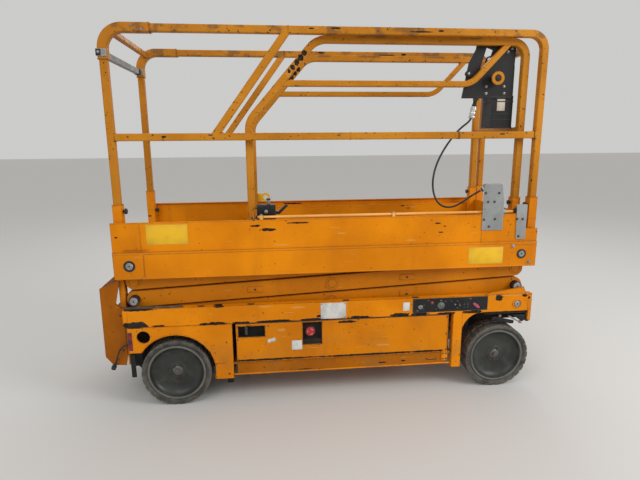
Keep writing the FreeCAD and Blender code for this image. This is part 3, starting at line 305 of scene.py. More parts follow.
class WornPaint(Finish):
    """Orange-yellow machine paint: satin, with dust, rubbed edges, dark chips and pale scratches."""

    def __init__(self, name: str, tone: Triple = (0.76, 0.240, 0.001), wear: float = 1.0, dust: float = 0.5,
                 chips: Sequence[tuple[float, float, float, float]] = (),
                 scuffs: Sequence[tuple[float, float, float, float]] = (),
                 rubbed_above: float = 0.0) -> None:
        """Keeps what differs from one painted piece to another.

        Args:
            name: the material's name.
            tone: the clean paint's colour.
            wear: how far chips and rubbed edges spread, about 1 for this machine.
            dust: how dull the lower parts are.
            chips: ragged dark ovals at (x, z, half width, half height) on the sides.
            scuffs: pale rubbed ovals, given the same way.
            rubbed_above: height in millimetres above which the tops are rubbed brown; 0 for nowhere.
        """
        self.name = name
        self.tone = tone
        self.wear = wear
        self.dust = dust
        self.chips = chips
        self.scuffs = scuffs
        self.rubbed_above = rubbed_above

    def build(self, tree: Tree) -> None:
        """Fills the tree."""
        red, green, blue = self.tone
        broad = tree.noise(2.2, 4.0)
        streaks = tree.noise(9.0, 4.0, (1.0, 1.0, 0.16))
        fine = tree.noise(95.0, 3.0)
        grit = tree.noise(42.0, 6.0, shift=(3.1, 0.4, 1.7), roughness=0.7)
        ragged = tree.noise(44.0, 5.0, shift=(0.7, 2.0, 5.1), roughness=0.7)
        colour = tree.mix(broad.step(0.36, 0.64), (red * 0.84, green * 0.80, blue * 0.8),
                          (red * 1.06, green * 1.08, blue * 1.4))
        colour = tree.mix(streaks.step(0.52, 0.74) * 0.30, colour, (red * 0.62, green * 0.58, 0.006))
        edge = tree.edges(0.006)
        rub = (edge * 5.0 + (grit - 0.5) * 1.6).step(0.30, 0.62) * min(1.0, 0.55 * self.wear)
        colour = tree.mix(rub, colour, (0.52, 0.24, 0.05))
        for_dust = tree.noise(5.0, 5.0, shift=(9.0, 1.0, 2.0)).step(0.44, 0.68)
        low = 1.0 - tree.axis(Axis.Z).step(0.12, 0.55)
        colour = tree.mix((for_dust * (low * 0.55 + 0.10)) * self.dust, colour, (0.24, 0.125, 0.035))
        edge_chip = ((edge * 3.2 + (grit - 0.5) * 2.4) > 0.60 / max(self.wear, 0.2))
        specks = tree.noise(64.0, 2.0, shift=(6.0, 6.0, 1.0)) > 0.735 - 0.018 * self.wear
        chip = edge_chip.highest(specks)
        if self.chips:
            chip = chip.highest(tree.patches(self.chips, ragged))
        dark = tree.mix(fine.step(0.40, 0.60), (0.010, 0.008, 0.007), (0.042, 0.026, 0.017))
        scratch = tree.noise(30.0, 2.0, (0.25, 1.0, 2.6), (2.0, 5.0, 0.0)) > 0.725 - 0.012 * self.wear
        pale = scratch
        if self.scuffs:
            pale = pale.highest(tree.patches(self.scuffs, ragged))
        colour = tree.mix(pale * 0.38, colour, (0.66, 0.40, 0.14))
        if self.rubbed_above:
            high = tree.axis(Axis.Z).step((self.rubbed_above - 8) * MM, self.rubbed_above * MM)
            worn = high * tree.noise(13.0, 6.0, (1.0, 1.0, 1.0), (1.0, 0.3, 0.2)).step(0.49, 0.61)
            colour = tree.mix(worn * 0.6, colour, (0.115, 0.062, 0.030))
        colour = tree.mix(chip, colour, dark)
        rough = 0.34 + broad * 0.12 + chip * 0.32 + for_dust * 0.16 * self.dust
        height = fine * 0.12 + broad * 0.5 - chip * 0.55
        bump = tree.add("ShaderNodeBump", {}, {"Strength": 0.35, "Distance": 0.0012, "Height": height,
                                               "Normal": tree.rounding(0.0022)})
        self.surface(tree, {"Base Color": colour, "Roughness": rough, "Normal": bump, "Specular IOR Level": 0.12})


class PlainCoat(Finish):
    """A dull single-colour coat with dust, faint mottling and rubbed edges, as on black or grey steel."""

    def __init__(self, name: str, tone: Triple, rubbed: Triple, rough: float = 0.5, dust: float = 0.35,
                 metallic: float = 0.0, dust_tone: Triple = (0.26, 0.225, 0.18), grain: float = 80.0,
                 speckle: float = 0.0) -> None:
        """Keeps the coat's colours.

        Args:
            name: the material's name.
            tone: the clean colour.
            rubbed: the colour at rubbed edges.
            rough: the clean roughness.
            dust: the share of dust in the dusty places.
            metallic: the shader's metallic value.
            dust_tone: the dust's colour.
            grain: scale of the fine bump.
            speckle: share of small dark marks.
        """
        self.name = name
        self.tone = tone
        self.rubbed = rubbed
        self.rough = rough
        self.dust = dust
        self.metallic = metallic
        self.dust_tone = dust_tone
        self.grain = grain
        self.speckle = speckle

    def build(self, tree: Tree) -> None:
        """Fills the tree."""
        tone = self.tone
        broad = tree.noise(6.0, 5.0)
        fine = tree.noise(self.grain, 4.0)
        colour = tree.mix(broad.step(0.35, 0.65), tuple(c * 0.86 for c in tone), tuple(c * 1.12 for c in tone))
        dusty = tree.noise(14.0, 6.0, shift=(4.0, 2.0, 7.0), roughness=0.65).step(0.42, 0.70)
        colour = tree.mix(dusty * self.dust, colour, self.dust_tone)
        rub = (tree.edges(0.004) * 6.0 + (fine - 0.5) * 1.2).step(0.30, 0.70)
        colour = tree.mix(rub * 0.8, colour, self.rubbed)
        if self.speckle:
            marks = tree.noise(70.0, 3.0, shift=(1.0, 8.0, 3.0)) > 0.70
            colour = tree.mix(marks * self.speckle, colour, (0.05, 0.04, 0.035))
        bump = tree.add("ShaderNodeBump", {}, {"Strength": 0.3, "Distance": 0.0008, "Height": fine * 0.5 + broad,
                                               "Normal": tree.rounding(0.0015)})
        self.surface(tree, {"Base Color": colour, "Roughness": self.rough + dusty * 0.25, "Normal": bump,
                            "Metallic": self.metallic, "Specular IOR Level": 0.3})


class TyreRubber(Finish):
    """Worn grey rubber with tan dust on its tread and scuffed rings on its sidewall."""

    name = "tyre_rubber"

    def build(self, tree: Tree) -> None:
        """Fills the tree."""
        mottled = tree.noise(11.0, 6.0, roughness=0.65)
        fine = tree.noise(120.0, 4.0)
        colour = tree.mix(mottled.step(0.36, 0.64), (0.026, 0.025, 0.022), (0.078, 0.073, 0.063))
        dust = tree.noise(24.0, 6.0, shift=(2.0, 6.0, 1.0), roughness=0.7).step(0.46, 0.66)
        colour = tree.mix(dust * 0.35, colour, (0.21, 0.175, 0.125))
        rub = tree.edges(0.005).step(0.03, 0.16)
        colour = tree.mix(rub * 0.6, colour, (0.33, 0.31, 0.27))
        bump = tree.add("ShaderNodeBump", {}, {"Strength": 0.5, "Distance": 0.0015, "Height": fine + mottled,
                                               "Normal": tree.rounding(0.002)})
        self.surface(tree, {"Base Color": colour, "Roughness": 0.72 + mottled * 0.2, "Normal": bump})


class WheelCoat(Finish):
    """Dark green-grey wheel paint: dusty, with scattered rusty flecks and a rubbed rim edge."""

    name = "wheel_grey"

    def build(self, tree: Tree) -> None:
        """Fills the tree."""
        broad = tree.noise(7.0, 5.0)
        fine = tree.noise(110.0, 3.0)
        colour = tree.mix(broad.step(0.35, 0.65), (0.018, 0.0205, 0.018), (0.034, 0.038, 0.034))
        dust = tree.noise(19.0, 6.0, shift=(3.0, 1.0, 4.0), roughness=0.7).step(0.45, 0.72)
        colour = tree.mix(dust * 0.18, colour, (0.17, 0.155, 0.125))
        rub = (tree.edges(0.004) * 5.0 + (fine - 0.5) * 1.5).step(0.25, 0.75)
        colour = tree.mix(rub * 0.7, colour, (0.30, 0.30, 0.28))
        flecks = tree.noise(52.0, 3.0, shift=(8.0, 3.0, 2.0)) > 0.715
        colour = tree.mix(flecks * 0.75, colour, (0.045, 0.026, 0.016))
        bump = tree.add("ShaderNodeBump", {}, {"Strength": 0.3, "Distance": 0.001, "Height": fine * 0.4 + broad,
                                               "Normal": tree.rounding(0.002)})
        self.surface(tree, {"Base Color": colour, "Roughness": 0.36 + dust * 0.25, "Normal": bump,
                            "Specular IOR Level": 0.4})


class TreadPlate(Finish):
    """Worn deck plate: grey steel with raised diagonal bars and trodden dirt."""

    name = "deck_tread"

    def build(self, tree: Tree) -> None:
        """Fills the tree."""
        x, y = tree.axis(Axis.X), tree.axis(Axis.Y)
        bars: Any = None
        for turn, shift in ((1.0, 0.0), (-1.0, 0.5)):
            along = tree.add("ShaderNodeMath", {"operation": "FRACT"}, {0: (x + y * turn) * 22.0 + shift})
            athwart = tree.add("ShaderNodeMath", {"operation": "FRACT"}, {0: (x * turn - y) * 22.0 + shift})
            bar = (1.0 - ((along - 0.5) * 2.6).absolute()).step(0.0, 0.5) * \
                  (1.0 - ((athwart - 0.5) * 7.0).absolute()).step(0.0, 0.6)
            bars = bar if bars is None else bars.highest(bar)
        dirt = tree.noise(5.0, 6.0, roughness=0.65)
        fine = tree.noise(140.0, 3.0)
        colour = tree.mix(dirt.step(0.38, 0.64), (0.10, 0.085, 0.068), (0.30, 0.285, 0.26))
        colour = tree.mix(bars * 0.55, colour, (0.44, 0.43, 0.41))
        bump = tree.add("ShaderNodeBump", {}, {"Strength": 0.7, "Distance": 0.0015, "Height": bars + fine * 0.08,
                                               "Normal": tree.rounding(0.001)})
        self.surface(tree, {"Base Color": colour, "Roughness": 0.62 - bars * 0.2, "Metallic": 0.35, "Normal": bump})


class BareSteel(Finish):
    """Turned or plated steel with fine smears."""

    def __init__(self, name: str, tone: Triple = (0.40, 0.40, 0.39), rough: float = 0.38, rust: float = 0.0) -> None:
        """Keeps the steel's colour, roughness and share of rust."""
        self.name = name
        self.tone = tone
        self.rough = rough
        self.rust = rust

    def build(self, tree: Tree) -> None:
        """Fills the tree."""
        smear = tree.noise(38.0, 5.0, roughness=0.6)
        fine = tree.noise(190.0, 2.0)
        colour = tree.mix(smear.step(0.35, 0.65), tuple(c * 0.72 for c in self.tone), self.tone)
        rusty = tree.noise(60.0, 5.0, shift=(3.0, 5.0, 7.0)).step(0.46, 0.60) * self.rust
        colour = tree.mix(rusty, colour, (0.12, 0.050, 0.020))
        bump = tree.add("ShaderNodeBump", {}, {"Strength": 0.2, "Distance": 0.0005, "Height": fine,
                                               "Normal": tree.rounding(0.001)})
        self.surface(tree, {"Base Color": colour, "Roughness": self.rough + smear * 0.2, "Normal": bump,
                            "Metallic": 0.85 - rusty * 0.8})


class Sheath(Finish):
    """Black rubber cord sheath with a slight sheen and rubbed, dusty stretches."""

    name = "cord_sheath"

    def build(self, tree: Tree) -> None:
        """Fills the tree."""
        dust = tree.noise(17.0, 5.0).step(0.46, 0.70)
        fine = tree.noise(260.0, 2.0)
        colour = tree.mix(dust * 0.5, (0.012, 0.012, 0.012), (0.085, 0.078, 0.068))
        bump = tree.add("ShaderNodeBump", {}, {"Strength": 0.25, "Distance": 0.0004, "Height": fine})
        self.surface(tree, {"Base Color": colour, "Roughness": 0.42 + dust * 0.3, "Normal": bump})


class BlankPlate(Finish):
    """An empty sticker or plate: flat colour with grime, scratches and rubbed borders."""

    def __init__(self, name: str, tone: Triple, grime: float = 0.3, rough: float = 0.45, metallic: float = 0.0) -> None:
        """Keeps the plate's colour, share of grime and gloss."""
        self.name = name
        self.tone = tone
        self.grime = grime
        self.rough = rough
        self.metallic = metallic

    def build(self, tree: Tree) -> None:
        """Fills the tree."""
        broad = tree.noise(18.0, 5.0)
        scratch = tree.noise(46.0, 3.0, (0.3, 1.0, 2.2), (5.0, 1.0, 2.0)) > 0.70
        colour = tree.mix(broad.step(0.42, 0.66) * self.grime, self.tone, tuple(c * 0.45 for c in self.tone))
        colour = tree.mix(scratch * self.grime, colour, (0.10, 0.08, 0.06))
        rub = tree.edges(0.003).step(0.02, 0.2)
        colour = tree.mix(rub * 0.3, colour, (0.12, 0.10, 0.08))
        bump = tree.add("ShaderNodeBump", {}, {"Strength": 0.15, "Distance": 0.0004, "Height": broad})
        self.surface(tree, {"Base Color": colour, "Roughness": self.rough + broad * 0.2, "Normal": bump,
                            "Metallic": self.metallic})


class Gloss(Finish):
    """Moulded plastic or lens with a clear, slightly scratched gloss."""

    def __init__(self, name: str, tone: Triple, rough: float = 0.25, deep: float = 0.6) -> None:
        """Keeps the colour, roughness and the darkest share of the tone."""
        self.name = name
        self.tone = tone
        self.rough = rough
        self.deep = deep

    def build(self, tree: Tree) -> None:
        """Fills the tree."""
        broad = tree.noise(30.0, 4.0)
        fine = tree.noise(150.0, 3.0)
        colour = tree.mix(broad.step(0.38, 0.66), tuple(c * self.deep for c in self.tone), self.tone)
        bump = tree.add("ShaderNodeBump", {}, {"Strength": 0.15, "Distance": 0.0004, "Height": fine,
                                               "Normal": tree.rounding(0.0012)})
        self.surface(tree, {"Base Color": colour, "Roughness": self.rough + fine * 0.15, "Normal": bump,
                            "Coat Weight": 0.25})




# Meshes


class Shape:
    """One mesh under construction, in millimetres, with several finishes."""

    def __init__(self, name: str, finishes: Sequence[Finish]) -> None:
        """Starts an empty mesh with its material list."""
        self.name = name
        self.finishes = list(finishes)
        self.mesh = bmesh.new()

    def _take(self, verts: Iterable[bmesh.types.BMVert], finish: int) -> list[bmesh.types.BMFace]:
        """Gives the faces of new vertices their finish."""
        faces = {face for vert in verts for face in vert.link_faces}
        for face in faces:
            face.material_index = finish
        return list(faces)

    def _bevel(self, verts: list[bmesh.types.BMVert], width: float, finish: int, sharp: float = 30.0) -> None:
        """Rounds the sharp edges among some vertices."""
        edges = {edge for vert in verts for edge in vert.link_edges if len(edge.link_faces) == 2}
        edges = [edge for edge in edges if edge.calc_face_angle(0.0) > math.radians(sharp)]
        made = bmesh.ops.bevel(self.mesh, geom=edges, offset=width, segments=2, affect="EDGES", profile=0.5,
                               clamp_overlap=True)
        for face in made["faces"]:
            face.material_index = finish

    def box(self, x: Pair, y: Pair, z: Pair, bevel: float = 0.0, finish: int = 0) -> None:
        """Adds a box from three (low, high) pairs."""
        size = Vector((x[1] - x[0], y[1] - y[0], z[1] - z[0]))
        centre = Vector((x[0] + x[1], y[0] + y[1], z[0] + z[1])) / 2
        matrix = Matrix.Translation(centre) @ Matrix.Diagonal((*size, 1.0))
        verts = bmesh.ops.create_cube(self.mesh, size=1.0, matrix=matrix)["verts"]
        self._take(verts, finish)
        if bevel:
            self._bevel(verts, bevel, finish)

    def plate(self, outline: Sequence[Pair], thick: Pair, normal: Axis = Axis.Y, bevel: float = 0.0,
              finish: int = 0) -> None:
        """Adds a flat plate.

        Args:
            outline: its corners; (x, z) for a normal along Y, (y, z) along X and (x, y) along Z.
            thick: the (low, high) pair along the normal.
            normal: the direction that it faces.
            bevel: how far its edges are rounded.
            finish: index of its finish.
        """
        rest = [axis for axis in range(3) if axis != normal.value]
        verts = []
        for a, b in outline:
            place = Vector((0.0, 0.0, 0.0))
            place[rest[0]], place[rest[1]], place[normal.value] = a, b, thick[0]
            verts.append(self.mesh.verts.new(place))
        face = self.mesh.faces.new(verts)
        made = bmesh.ops.extrude_face_region(self.mesh, geom=[face])["geom"]
        moved = [item for item in made if isinstance(item, bmesh.types.BMVert)]
        bmesh.ops.translate(self.mesh, verts=moved, vec=normal.vector() * (thick[1] - thick[0]))
        whole = verts + moved
        faces = self._take(whole, finish)
        bmesh.ops.recalc_face_normals(self.mesh, faces=faces)
        if bevel:
            self._bevel(whole, bevel, finish)

    def rod(self, start: Triple, end: Triple, radius: float, sides: int = 24, bevel: float = 0.0, finish: int = 0,
            tip: float | None = None) -> None:
        """Adds a round bar or cone between two points; tip is its radius at the end."""
        a, b = Vector(start), Vector(end)
        along = b - a
        matrix = Matrix.Translation((a + b) / 2) @ along.to_track_quat("Z", "Y").to_matrix().to_4x4()
        verts = bmesh.ops.create_cone(self.mesh, cap_ends=True, segments=sides, radius1=radius,
                                      radius2=radius if tip is None else tip, depth=along.length,
                                      matrix=matrix)["verts"]
        self._take(verts, finish)
        if bevel:
            self._bevel(verts, bevel, finish, 50.0)

    def lathe(self, profile: Sequence[Pair], centre: Triple, axis: Axis = Axis.Y, way: float = 1.0, sides: int = 64,
              finish: int = 0, closed: bool = False) -> None:
        """Adds a turned piece.

        Args:
            profile: (radius, distance along the axis) pairs, in order.
            centre: where the axis starts.
            axis: the direction that it turns about.
            way: 1 or -1, the sense in which distance grows along the axis.
            sides: how many steps it turns in.
            finish: index of its finish.
            closed: whether the profile's last pair joins its first, as in a ring.
        """
        along = axis.vector()
        one = Vector((along.y + along.z, 0.0, along.x)).normalized()
        other = along.cross(one)
        rings = []
        for radius, depth in profile:
            middle = Vector(centre) + along * (way * depth)
            if radius < 1e-6:
                rings.append([self.mesh.verts.new(middle)])
                continue
            ring = []
            for index in range(sides):
                angle = 2 * math.pi * index / sides
                ring.append(self.mesh.verts.new(middle + (one * math.cos(angle) + other * math.sin(angle)) * radius))
            rings.append(ring)
        pairs = list(zip(rings, rings[1:] + rings[:1])) if closed else list(zip(rings, rings[1:]))
        faces = []
        for first, second in pairs:
            for index in range(sides):
                after = (index + 1) % sides
                corners = [first[index % len(first)], first[after % len(first)],
                           second[after % len(second)], second[index % len(second)]]
                corners = list(dict.fromkeys(corners))
                if len(corners) > 2:
                    faces.append(self.mesh.faces.new(corners))
        for face in faces:
            face.material_index = finish
        bmesh.ops.recalc_face_normals(self.mesh, faces=faces)

    def tube(self, points: Sequence[Triple], radius: float, sides: int = 12, finish: int = 0) -> None:
        """Adds a round bar along points, with flat ends."""
        path = [Vector(point) for point in points]
        rings = []
        side = (path[1] - path[0]).orthogonal().normalized()
        for index, point in enumerate(path):
            before = path[max(index - 1, 0)]
            after = path[min(index + 1, len(path) - 1)]
            along = (after - before).normalized()
            side = (side - along * side.dot(along)).normalized()
            other = along.cross(side)
            rings.append([self.mesh.verts.new(point + (side * math.cos(turn) + other * math.sin(turn)) * radius)
                          for turn in (2 * math.pi * step / sides for step in range(sides))])
        faces = [self.mesh.faces.new(rings[0]), self.mesh.faces.new(rings[-1])]
        for first, second in zip(rings, rings[1:]):
            for step in range(sides):
                after = (step + 1) % sides
                faces.append(self.mesh.faces.new((first[step], first[after], second[after], second[step])))
        for face in faces:
            face.material_index = finish
        bmesh.ops.recalc_face_normals(self.mesh, faces=faces)

    def bead(self, start: Triple, axis: Axis, length: float, size: float = 3.0, finish: int = 0) -> None:
        """Adds a rippled weld bead along an axis."""
        steps = max(3, round(length / 5.0))
        profile = [(0.0, 0.0)]
        for index in range(steps):
            profile.append((size * (1.0 if index % 2 else 0.78), length * (index + 0.5) / steps))
        self.lathe([*profile, (0.0, length)], start, axis, 1.0, 8, finish)

    def mirrored(self) -> None:
        """Adds the same shape on the other long side."""
        twin = bmesh.ops.duplicate(self.mesh, geom=self.mesh.verts[:] + self.mesh.edges[:] + self.mesh.faces[:])
        verts = [item for item in twin["geom"] if isinstance(item, bmesh.types.BMVert)]
        bmesh.ops.scale(self.mesh, vec=(1.0, -1.0, 1.0), verts=verts)
        bmesh.ops.reverse_faces(self.mesh, faces=[item for item in twin["geom"]
                                                  if isinstance(item, bmesh.types.BMFace)])

    def mesh_only(self, sharp: float = 34.0) -> bpy.types.Mesh:
        """Ends the mesh, in metres, smooth except at sharp edges."""
        bmesh.ops.scale(self.mesh, vec=(MM, MM, MM), verts=self.mesh.verts)
        for face in self.mesh.faces:
            face.smooth = True
        for edge in self.mesh.edges:
            if len(edge.link_faces) == 2 and edge.calc_face_angle(0.0) > math.radians(sharp):
                edge.smooth = False
        made = bpy.data.meshes.new(self.name)
        self.mesh.to_mesh(made)
        self.mesh.free()
        for finish in self.finishes:
            made.materials.append(finish.material())
        return made

    def ride(self, body: str, slot: str, replaces: Sequence[str] = (), sharp: float = 34.0) -> bpy.types.Object:
        """Ends the mesh as a piece that rides on a body.

        Args:
            body: the body's name.
            slot: the record's material slot; not used.
            replaces: nodes that the piece stands for.
            sharp: angle in degrees from which an edge stays sharp.

        Returns:
            The object.
        """
        piece = bpy.data.objects.new(self.name, self.mesh_only(sharp))
        return settle(piece, body, replaces)


def settle(piece: bpy.types.Object, body: str, replaces: Sequence[str] = ()) -> bpy.types.Object:
    """Puts a finished object into the scene and tells the frame what it rides on."""
    if piece.name not in bpy.context.scene.collection.objects:
        bpy.context.scene.collection.objects.link(piece)
    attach(piece, body)
    if replaces:
        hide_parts(*replaces)
    LOG.info("%s on %s: %d faces", piece.name, body, len(piece.data.polygons))
    return piece


# Geometry node trees


class Repeat:
    """A Geometry Nodes tree that sets one small mesh at many places."""

    def __init__(self, name: str) -> None:
        """Starts an empty tree with a geometry output."""
        self.group = bpy.data.node_groups.new(name, "GeometryNodeTree")
        self.group.interface.new_socket("Geometry", in_out="INPUT", socket_type="NodeSocketGeometry")
        self.group.interface.new_socket("Geometry", in_out="OUTPUT", socket_type="NodeSocketGeometry")
        self.tree = Tree(self.group)
        self.values: dict[str, Any] = {}
        self.source: bpy.types.Node | None = None

    def named(self, name: str, kind: str, value: Any) -> Socket:
        """Adds an input with a name and remembers its value."""
        self.group.interface.new_socket(name, in_out="INPUT", socket_type=kind)
        self.values[name] = value
        if self.source is None:
            self.source = self.group.nodes.new("NodeGroupInput")
        return Socket(self.tree, self.source.outputs[name])

    def given(self) -> Socket:
        """The geometry of the mesh that the modifier starts from."""
        if self.source is None:
            self.source = self.group.nodes.new("NodeGroupInput")
        return Socket(self.tree, self.source.outputs["Geometry"])

    def finish(self, instances: Socket, piece_name: str, base: bpy.types.Mesh,
               material: bpy.types.Material) -> bpy.types.Object:
        """Ends the tree, runs it on a mesh and keeps the plain result.

        Args:
            instances: the geometry to realize.
            piece_name: name of the object.
            base: the mesh that the modifier starts from.
            material: the finish of the result.

        Returns:
            An object with no modifier, not yet riding on a body.
        """
        real = self.tree.add("GeometryNodeRealizeInstances", {}, {"Geometry": instances})
        dressed = self.tree.add("GeometryNodeSetMaterial", {}, {"Geometry": real, "Material": material})
        output = self.group.nodes.new("NodeGroupOutput")
        self.group.links.new(dressed.source, output.inputs[0])
        piece = bpy.data.objects.new(piece_name, base)
        bpy.context.scene.collection.objects.link(piece)
        modifier = piece.modifiers.new("repeat", "NODES")
        modifier.node_group = self.group
        identifiers = {item.name: item.identifier for item in self.group.interface.items_tree
                       if item.in_out == "INPUT"}
        for name, value in self.values.items():
            modifier[identifiers[name]] = value
        bpy.context.view_layer.update()
        evaluated = piece.evaluated_get(bpy.context.evaluated_depsgraph_get())
        result = bpy.data.meshes.new_from_object(evaluated)
        piece.modifiers.clear()
        piece.data = result
        return piece


class Studs:
    """Small turned or six-sided pieces at listed places, each standing out along its own direction."""

    def __init__(self, name: str, unit: Shape, finish: Finish) -> None:
        """Keeps the small mesh, modelled at the origin and standing out along +Z."""
        self.name = name
        self.finish = finish
        self.unit = bpy.data.objects.new(name + "_unit", unit.mesh_only())
        self.places: list[tuple[Vector, Vector, float]] = []

    def at(self, place: Triple, out: Triple, size: float = 1.0) -> None:
        """Adds one place in millimetres, the way it stands out and its scale."""
        self.places.append((Vector(place) * MM, Vector(out).normalized(), size))

    def ride(self, body: str, slot: str) -> bpy.types.Object:
        """Makes all of them one piece on a body and forgets the places."""
        base = bpy.data.meshes.new(self.name + "_places")
        base.from_pydata([tuple(place) for place, _, _ in self.places], [], [])
        base.attributes.new("stand_out", "FLOAT_VECTOR", "POINT")
        base.attributes.new("stand_size", "FLOAT", "POINT")
        for index, (_, way, scale) in enumerate(self.places):
            base.attributes["stand_out"].data[index].vector = way
            base.attributes["stand_size"].data[index].value = scale
        repeat = Repeat(self.name + "_tree")
        geometry = repeat.named("Unit", "NodeSocketObject", self.unit)
        whole = repeat.given()
        overall = repeat.named("Overall size", "NodeSocketFloat", 1.0)
        unit = repeat.tree.add("GeometryNodeObjectInfo", {}, {"Object": geometry, "As Instance": True}, "Geometry")
        way = repeat.tree.add("GeometryNodeInputNamedAttribute", {"data_type": "FLOAT_VECTOR"},
                              {"Name": "stand_out"}, "Attribute")
        scale = repeat.tree.add("GeometryNodeInputNamedAttribute", {"data_type": "FLOAT"},
                                {"Name": "stand_size"}, "Attribute")
        turn = repeat.tree.add("FunctionNodeAlignRotationToVector", {"axis": "Z"}, {"Vector": way})
        placed = repeat.tree.add("GeometryNodeInstanceOnPoints", {},
                                 {"Points": whole, "Instance": unit, "Rotation": turn, "Scale": scale * overall})
        piece = repeat.finish(placed, self.name, base, self.finish.material())
        self.places = []
        return settle(piece, body)


# The machine's shared finishes


PAINT = WornPaint(
    "paint_rails", tone=(0.53, 0.205, 0.011), wear=1.7, dust=0.5, rubbed_above=1976.0,
    chips=((-173, 1806, 9, 13), (-155, 1827, 12, 14), (-134, 1850, 14, 15), (-112, 1873, 14, 16), (-92, 1897, 15, 14),
           (-60, 2004, 14, 4), (62, 2007, 24, 5), (500, 1996, 60, 4), (612, 2001, 16, 5), (-820, 1478, 14, 5)))
PAINT_SIDE = WornPaint(
    "paint_platform_side", wear=0.75, dust=0.25,
    chips=((-305, 990, 42, 9), (-370, 1012, 26, 6), (-140, 1023, 60, 5), (646, 950, 17, 4), (628, 1001, 13, 4),
           (670, 984, 9, 3), (-1090, 968, 10, 5)),
    scuffs=((-230, 905, 40, 5), (480, 910, 26, 5), (90, 960, 26, 4)))
# The last scuff, a pale band along the front block's top edge, is partly worn paint and partly a painted highlight.
PAINT_CHASSIS = WornPaint(
    "paint_chassis", wear=1.35, dust=0.7,
    chips=((-1050, 483, 62, 19), (-912, 475, 34, 6), (-620, 474, 84, 9), (-470, 474, 50, 6), (-280, 474, 100, 7),
           (-60, 474, 80, 7), (190, 473, 60, 9), (428, 476, 54, 13), (540, 476, 56, 9), (700, 474, 54, 7),
           (860, 476, 66, 9), (1014, 553, 27, 17), (1168, 563, 16, 8), (1196, 547, 6, 8), (-1010, 570, 80, 6),
           (-36, 490, 14, 8), (90, 466, 40, 5), (-590, 570, 30, 5)),
    scuffs=((-330, 560, 40, 4), (-150, 549, 40, 6), (1080, 569, 100, 4)))
# Darker copy of the orange paint for the doors, guards and tray lips: its lower tone is painted shade below the beam.
PAINT_LOW_SHADED = WornPaint(
    "paint_low_panels", tone=(0.66, 0.205, 0.001), wear=1.5, dust=0.55,
    chips=((-300, 247, 260, 6), (240, 246, 330, 6), (600, 246, 110, 6), (-505, 330, 6, 60), (120, 450, 50, 8)),
    scuffs=((-250, 420, 26, 8), (330, 300, 40, 6), (760, 190, 8, 26)))
# Darker copy of the orange paint for the arms, washers and rear posts: its tone is painted shade between platform and
# chassis.
PAINT_ARMS_SHADED = WornPaint("paint_arms", tone=(0.58, 0.185, 0.002), wear=0.9, dust=0.6)
# Darker copy of the orange paint for the ladder: its low tone is painted shade.
PAINT_LADDER_SHADED = WornPaint("paint_ladder", tone=(0.36, 0.102, 0.001), wear=0.8, dust=0.5)
# Darker copy of the orange paint for the sill: its low tone is painted shade under the machine; its chips are real.
PAINT_SILL_SHADED = WornPaint("paint_sill", tone=(0.40, 0.118, 0.001), wear=1.6, dust=0.6,
                       chips=((330, 186, 30, 4), (-120, 172, 40, 3), (460, 190, 16, 5)))
BLACK_STEEL = PlainCoat("black_steel", (0.010, 0.010, 0.011), (0.10, 0.095, 0.09), rough=0.5, dust=0.30,
                        dust_tone=(0.060, 0.052, 0.042))
BLACK_PANEL = PlainCoat("black_panel", (0.008, 0.009, 0.010), (0.10, 0.10, 0.10), rough=0.45, dust=0.22,
                        dust_tone=(0.055, 0.050, 0.044))
DARK_INSIDE = PlainCoat("dark_inside", (0.016, 0.014, 0.012), (0.05, 0.04, 0.03), rough=0.85, dust=0.5,
                        dust_tone=(0.05, 0.042, 0.032))
LIGHT_GREY = PlainCoat("guide_grey", (0.28, 0.295, 0.295), (0.55, 0.55, 0.53), rough=0.5, dust=0.4,
                       dust_tone=(0.22, 0.205, 0.18), speckle=0.6)
PALE_ROD = WornPaint("paint_rod", tone=(0.88, 0.44, 0.10), wear=1.1, dust=0.15)
RUBBED_TOP = PlainCoat("rubbed_top", (0.070, 0.048, 0.032), (0.30, 0.24, 0.18), rough=0.7, dust=0.6,
                       dust_tone=(0.20, 0.15, 0.105))
TYRE = TyreRubber()
WHEEL = WheelCoat()
RIM_EDGE = PlainCoat("rim_edge", (0.110, 0.112, 0.102), (0.34, 0.335, 0.31), rough=0.5, dust=0.5,
                     dust_tone=(0.20, 0.185, 0.15))
STEEL = BareSteel("bolt_steel", (0.42, 0.42, 0.41), 0.36, 0.25)
BRIGHT_STEEL = BareSteel("bright_steel", (0.66, 0.66, 0.65), 0.26)
DARK_BOLT = BareSteel("dark_bolt", (0.10, 0.095, 0.09), 0.5, 0.5)
HUB_STEEL = BareSteel("hub_steel", (0.20, 0.20, 0.19), 0.45, 0.35)
CHROME = BareSteel("plated_rod", (0.72, 0.72, 0.73), 0.14)
COPPERY = BareSteel("copper_bolt", (0.55, 0.22, 0.12), 0.4, 0.4)
SHEATH = Sheath()
DECK_TREAD = TreadPlate()
WHITE_PLATE = BlankPlate("blank_white", (0.66, 0.66, 0.63), 0.45)
YELLOW_PLATE = BlankPlate("blank_yellow", (0.84, 0.48, 0.004), 0.16)
BEIGE_PLATE = BlankPlate("blank_beige", (0.55, 0.50, 0.40), 0.35)
RED = Gloss("stop_red", (0.46, 0.010, 0.012), 0.34)
LAMP_RED = Gloss("lamp_red", (0.45, 0.010, 0.012), 0.22)
REFLECTOR = Gloss("reflector_red", (0.30, 0.006, 0.004), 0.34, 0.15)
PINK = Gloss("pink_tab", (0.62, 0.10, 0.16), 0.4)
MINT = Gloss("mint_fitting", (0.42, 0.62, 0.52), 0.4)
KNOB = PlainCoat("knob_grey", (0.070, 0.085, 0.080), (0.30, 0.32, 0.31), rough=0.4, dust=0.3)
MARKS = BlankPlate("panel_marks", (0.55, 0.55, 0.54), 0.5)


# Studio and camera


